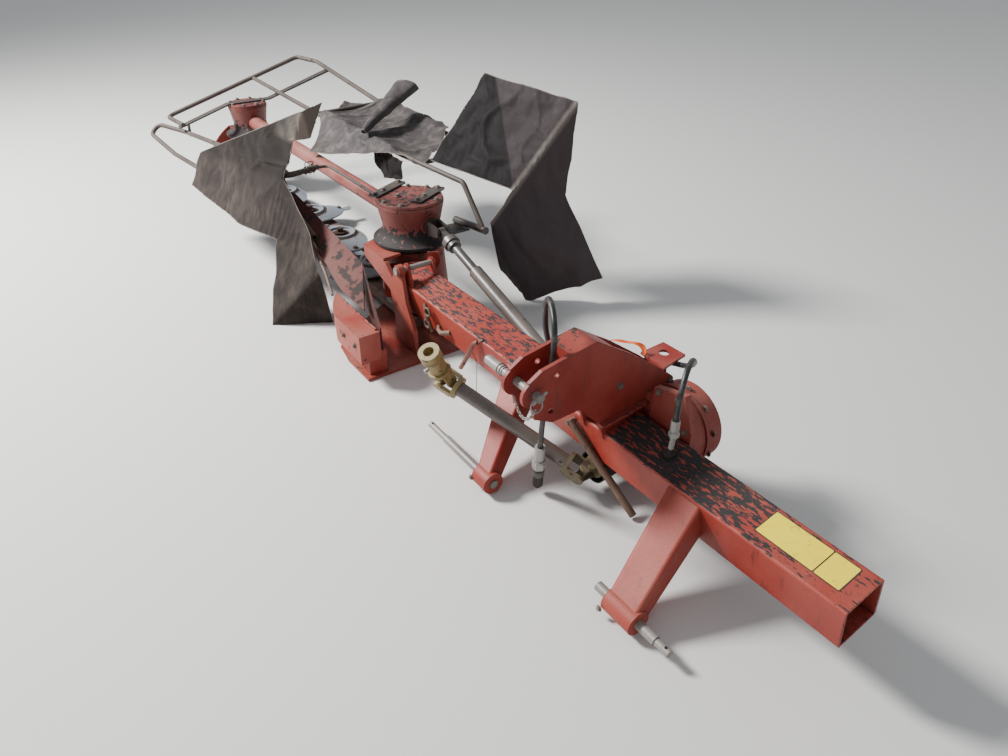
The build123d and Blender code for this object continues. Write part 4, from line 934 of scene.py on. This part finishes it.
def seen_side(first, second, near, far, both=False, most=1.0):
    """A mask that changes across the line from first to second as the camera sees it, or to both sides of it."""
    across = (Vector(first) - camera.location).cross(Vector(second) - camera.location).normalized()

    def mask(tree, spot):
        reach = place_node(tree, "VectorMath", {0: spot, 1: across}, operation="DOT_PRODUCT").outputs["Value"]
        reach = calc(tree, "SUBTRACT", reach, across.dot(camera.location))
        return between(tree, calc(tree, "ABSOLUTE", reach, 0.0) if both else reach, near, far, 0.0, most)

    return mask


def canvas_finish(name, *light_shade_and_tone_patches, **values):
    """A coated canvas by the shared group, with its own colours, and patches of colour by place laid over them:
    painted light, painted shade and tones of its own.
    """
    made, tree, shader = new_material(name)
    look = add_group(tree, cloth_look, values)
    shader.inputs["Specular IOR Level"].default_value = 0.12
    colour = look.outputs["Color"]
    for mask, shade in light_shade_and_tone_patches:
        colour = blend_colour(tree, mask(tree, object_spot(tree)), colour, (*shade, 1))
    tree.links.new(colour, shader.inputs["Base Color"])
    for key in ("Roughness", "Normal"):
        tree.links.new(look.outputs[key], shader.inputs[key])
    return made


def above_ground(piece):
    """Lifts the points of a hanging sheet or its edge that would dip into the ground."""
    for vert in piece.data.vertices:
        vert.co.z = max(vert.co.z, 0.0005)


def panels(name, corners, facets, rounds, soften):
    """A sheet of flat panels that share their corners, divided finely, with its folds softened."""
    shape = bmesh.new()
    made = {key: shape.verts.new(place) for key, place in corners.items()}
    for facet in facets:
        shape.faces.new([made[key] for key in facet])
    bmesh.ops.triangulate(shape, faces=shape.faces[:])
    bmesh.ops.recalc_face_normals(shape, faces=shape.faces[:])
    for _ in range(rounds):
        bmesh.ops.subdivide_edges(shape, edges=shape.edges[:], cuts=1, use_grid_fill=True)
    inner = [vert for vert in shape.verts if not vert.is_boundary]
    for _ in range(soften):
        bmesh.ops.smooth_vert(shape, verts=inner, factor=0.5, use_axis_x=True, use_axis_y=True, use_axis_z=True)
    return from_shape(name, shape)


def crumple(piece, depth, size, seed):
    """Shallow dents and soft ridges, as coated canvas keeps from its folds."""
    normals = [Vector(vert.normal) for vert in piece.data.vertices]
    for vert, normal in zip(piece.data.vertices, normals):
        place = vert.co / size + Vector((seed, 0.7 * seed, -seed))
        ridge = 1 - 2 * abs(noise.noise(place))
        soft = noise.noise(2.3 * place + Vector((3.1, 0.4, 7.7)))
        vert.co += normal * depth * (0.8 * ridge * ridge + 0.6 * soft - 0.4)


def drape(piece, carriers, loose=0.22, reach=0.09, growth=0.02, frames=16):
    """A short cloth simulation of the sheet, held along the lines of its carriers."""
    held = piece.vertex_groups.new(name="held")
    for vert in piece.data.vertices:
        gap = min(line_gap(vert.co, start, end) for start, end in carriers)
        held.add([vert.index], max(loose, 1.0 - gap / reach), "REPLACE")
    select_only(piece)
    cloth = piece.modifiers.new("drape", "CLOTH")
    cloth_settings = {
        "quality": 6,
        "mass": 0.4,
        "tension_stiffness": 40,
        "compression_stiffness": 30,
        "shear_stiffness": 20,
        "bending_stiffness": 8,
        "vertex_group_mass": "held",
        "pin_stiffness": 1.5,
        "shrink_min": -growth,
    }
    for key, value in cloth_settings.items():
        setattr(cloth.settings, key, value)
    cloth.collision_settings.use_collision = False
    for step in range(1, frames + 1):
        bpy.context.scene.frame_set(step)
    bpy.ops.object.modifier_apply(modifier="drape")
    bpy.context.scene.frame_set(1)
    piece.vertex_groups.clear()


def frayed_hem(piece, name, radius):
    """The sheet's frayed edge: an uneven roll of threads that runs all round it."""
    shape = bmesh.new()
    shape.from_mesh(piece.data)
    inside = [edge for edge in shape.edges if not edge.is_boundary]
    bmesh.ops.delete(shape, geom=inside, context="EDGES_FACES")
    loose = [vert for vert in shape.verts if not vert.link_edges]
    bmesh.ops.delete(shape, geom=loose, context="VERTS")
    hem = from_shape(name, shape)
    select_only(hem)
    bpy.ops.object.convert(target="CURVE")
    hem = bpy.context.object
    hem.data.bevel_depth = radius
    hem.data.bevel_resolution = 1
    for spline in hem.data.splines:
        for index, point in enumerate(spline.points):
            point.radius = 0.75 + 0.6 * noise.noise(Vector(point.co[:3]) * 23.0)
    bpy.ops.object.convert(target="MESH")
    hem = bpy.context.object
    hem.name = name
    above_ground(hem)
    bpy.ops.object.shade_smooth()
    return finished(hem, hem_threads, "cutter_bar")


def finish_sheet(piece, thick, material, node):
    """Gives the sheet its thickness and its finish."""
    select_only(piece)
    applied(piece, "SOLIDIFY", thickness=thick, offset=0)
    applied(piece, "SUBSURF", levels=1, render_levels=1)
    above_ground(piece)
    bpy.ops.object.shade_smooth()
    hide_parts(node)
    finished(piece, material, "cutter_bar")


def lines_of(corners, *pairs):
    """The straight lines between pairs of a sheet's corners."""
    return [(corners[first], corners[second]) for first, second in pairs]


hem_threads = canvas_finish(
    "hem_threads", Coat=(0.085, 0.070, 0.060), Rubbed=(0.17, 0.145, 0.125), Soil=(0.20, 0.17, 0.14),
)
sheet_thick, thin_sheet = 0.0035, 0.003

# Front curtain: from the front tube up to its stiff free corner, and down past the cover to the ground.
# The seats say how far the CAD sheets lie from where the corners were laid out.
front_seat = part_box("canvas_front")[1].y - 0.6915
front_corners = {
    "far top": (1.408, 0.560, 0.451),
    "peak": (0.100, 0.462, 0.905),
    "rail": (0.430, 0.464, 0.556),
    "far low": (1.400, 0.640, 0.300),
    "hem": (0.700, 0.612, 0.300),
    "neck": (0.400, 0.548, 0.310),
    "fold": (0.190, 0.470, 0.378),
    "edge": (0.095, 0.490, 0.250),
    "foot front": (0.222, 0.689, 0.006),
    "foot rear": (0.096, 0.460, 0.006),
    "turn": (0.223, 0.463, 0.775),
    "flap tip": (0.156, 0.356, 0.915),
    "flap low": (0.180, 0.414, 0.785),
}
front_corners = {key: (x, y + front_seat, z) for key, (x, y, z) in front_corners.items()}
front_facets = (
    ("far top", "peak", "turn"),
    ("far top", "turn", "rail"),
    ("peak", "flap tip", "flap low", "turn"),
    ("far top", "rail", "hem"),
    ("far top", "hem", "far low"),
    ("rail", "neck", "hem"),
    ("rail", "fold", "neck"),
    ("fold", "edge", "neck"),
    ("edge", "foot front", "neck"),
    ("edge", "foot rear", "foot front"),
)


def painted_shade_upper_front(tree, spot):
    """The front curtain's upper part, made dark with painted shade."""
    return between(tree, parts_of(tree, spot)["Z"], 0.42, 0.62, 0.0, 0.7)


def turned_flap(tree, spot):
    """The front curtain's turned-over flap at the peak, which shows its pale side."""
    at = parts_of(tree, spot)
    return times(tree, between(tree, at["Y"], 0.452, 0.440, 0.0, 0.75), between(tree, at["Z"], 0.74, 0.77))


# The front canvas: painted shade darkens its upper part, and the turned flap shows its pale side.
front_cloth = canvas_finish(
    "front_canvas",
    (painted_shade_upper_front, (0.014, 0.0108, 0.0100)),
    (turned_flap, (0.17, 0.145, 0.125)),
    Coat=(0.020, 0.0150, 0.0135),
    Rubbed=(0.062, 0.049, 0.044),
    Soil=(0.115, 0.090, 0.074),
    Soiled=0.65,
)
front_curtain = panels("front_curtain", front_corners, front_facets, 5, 10)
crumple(front_curtain, 0.010, 0.26, 3.0)
front_lines = lines_of(front_corners, ("far top", "rail"), ("rail", "fold"), ("peak", "far top"))
drape(front_curtain, front_lines, loose=0.3, growth=0.010)
front_hem = frayed_hem(front_curtain, "front_curtain_hem", 0.0026)
finish_sheet(front_curtain, sheet_thick, front_cloth, "canvas_front")

# Middle curtain: over both rear rails, wrinkled and shiny with wear, with its loose end rolled up on it.
middle_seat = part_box("canvas_middle")[0].z - 0.5106
middle_corners = {
    "out": (1.161, -0.058, 0.620),
    "out rear": (1.360, -0.288, 0.6295),
    "rear out": (1.180, -0.480, 0.630),
    "rear in": (0.560, -0.480, 0.618),
    "in": (0.215, -0.150, 0.603),
    "drop out": (0.932, 0.120, 0.514),
    "drop in": (0.700, 0.000, 0.552),
}
middle_facets = (
    ("out", "out rear", "rear out", "rear in", "in"),
    ("out", "drop out", "drop in"),
    ("out", "drop in", "in"),
)
middle_cloth = canvas_finish(
    "middle_canvas", Coat=(0.044, 0.038, 0.038), Rubbed=(0.185, 0.165, 0.160), Soil=(0.17, 0.14, 0.115), Soiled=0.4,
)
clear_coat = middle_cloth.node_tree.nodes["Principled BSDF"].inputs
clear_coat["Coat Weight"].default_value = 0.10
clear_coat["Coat Roughness"].default_value = 0.45
middle_curtain = panels("middle_curtain", middle_corners, middle_facets, 6, 10)
middle_curtain.data.transform(Matrix.Translation((0, 0, middle_seat)))
crumple(middle_curtain, 0.012, 0.15, 8.0)
inner_rail = ((0.2, -0.078, 0.595), (1.3, -0.078, 0.610))
outer_rail = ((0.2, -0.455, 0.612), (1.4, -0.455, 0.630))
drape(middle_curtain, [inner_rail, outer_rail], loose=0.15, reach=0.05)
middle_hem = frayed_hem(middle_curtain, "middle_curtain_hem", 0.0022)
finish_sheet(middle_curtain, sheet_thick, middle_cloth, "canvas_middle")

# The middle curtain's loose end: rolled up slantwise into a cone that lies across the sheet, its last
# turn open, and a torn flap that hangs below the inner rail.
roll_start, roll_end = Vector((0.672, -0.066, 0.626 + middle_seat)), Vector((0.897, -0.436, 0.748 + middle_seat))
roll_turn = (roll_end - roll_start).normalized().to_track_quat("Z", "Y")
roll_steps, ring_steps, turns = 26, 64, 1.6
rows = []
for along in range(roll_steps + 1):
    share = along / roll_steps
    widest = 0.015 + 0.062 * share
    row = []
    for around in range(ring_steps + 1):
        angle = math.tau * turns * around / ring_steps - 0.6
        radius = widest * (0.50 + 0.50 * around / ring_steps)
        dent = 1 + 0.10 * noise.noise(Vector((3 * share, math.cos(angle), math.sin(angle))) * 1.7)
        flat = Vector((radius * dent * math.cos(angle), radius * (1 - 0.42 * share) * dent * math.sin(angle), 0))
        row.append(roll_start.lerp(roll_end, share) + roll_turn @ flat)
    rows.append(row)
curtain_roll = skinned("middle_curtain_roll", rows)
crumple(curtain_roll, 0.004, 0.11, 2.0)
roll_hem = frayed_hem(curtain_roll, "middle_curtain_roll_hem", 0.0018)
finish_sheet(curtain_roll, thin_sheet, middle_cloth, "canvas_middle")
flap_corners = {
    "rail out": (0.622, -0.093, 0.572),
    "rail in": (0.330, -0.093, 0.566),
    "tip in": (0.383, -0.104, 0.462),
    "tip out": (0.580, -0.110, 0.418),
    "side": (0.640, -0.100, 0.480),
}
flap_cloth = canvas_finish(
    "flap_canvas", Coat=(0.012, 0.010, 0.010), Rubbed=(0.034, 0.029, 0.028), Soil=(0.08, 0.065, 0.05), Soiled=0.3,
)
torn_flap = panels("torn_flap", flap_corners, (("rail out", "rail in", "tip in", "tip out", "side"),), 5, 2)
crumple(torn_flap, 0.010, 0.10, 6.0)
flap_hem = frayed_hem(torn_flap, "torn_flap_hem", 0.0016)
finish_sheet(torn_flap, thin_sheet, flap_cloth, "canvas_middle")

# Rear curtain: a stiff tent of canvas beside the near head, down to the ground behind the beam.
rear_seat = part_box("canvas_rear")[1].x - 0.2251
rear_corners = {
    "tube": (0.222, -0.190, 0.575),
    "peak": (0.170, -0.450, 0.928),
    "outer": (-0.341, -0.560, 0.886),
    "crease": (-0.2654, -0.3008, 0.5541),
    "hinge": (-0.236, -0.200, 0.425),
    "waist": (-0.291, -0.560, 0.492),
    "corner": (-0.452, -0.664, 0.134),
    "foot": (-0.245, -0.400, 0.006),
    "low": (-0.149, -0.310, 0.147),
}
rear_corners = {key: (x + rear_seat, y, z) for key, (x, y, z) in rear_corners.items()}
rear_facets = (
    ("tube", "peak", "crease"),
    ("peak", "outer", "crease"),
    ("outer", "waist", "hinge", "crease"),
    ("hinge", "waist", "corner"),
    ("hinge", "corner", "foot"),
    ("hinge", "foot", "low"),
)
rear_peak, rear_outer, rear_crease, rear_hinge = (
    Vector(rear_corners[key]) for key in ("peak", "outer", "crease", "hinge")
)
ridge_top = rear_peak.lerp(rear_outer, 0.13)
# The rear canvas: painted shade darkens the facet left of the ridge from the peak to the crease, painted light lifts
# the lower part past the fold from the outer corner to the hinge, and a pale line runs along that fold.
rear_cloth = canvas_finish(
    "rear_canvas",
    (seen_side(ridge_top, rear_crease, -0.006, 0.006), (0.0085, 0.0065, 0.0068)),
    (seen_side(rear_outer, rear_hinge, 0.004, -0.004, most=0.6), (0.085, 0.067, 0.070)),
    (seen_side(rear_outer, rear_hinge, 0.020, 0.005, both=True, most=0.85), (0.18, 0.155, 0.138)),
    Coat=(0.024, 0.0185, 0.0195),
    Rubbed=(0.070, 0.056, 0.055),
    Soil=(0.10, 0.080, 0.066),
    Soiled=0.35,
)
rear_curtain = panels("rear_curtain", rear_corners, rear_facets, 5, 10)
crumple(rear_curtain, 0.014, 0.23, 5.0)
rear_lines = lines_of(rear_corners, ("tube", "crease"), ("tube", "peak"), ("outer", "hinge"), ("peak", "outer"))
drape(rear_curtain, rear_lines)
rear_hem = frayed_hem(rear_curtain, "rear_curtain_hem", 0.0028)
finish_sheet(rear_curtain, sheet_thick, rear_cloth, "canvas_rear")
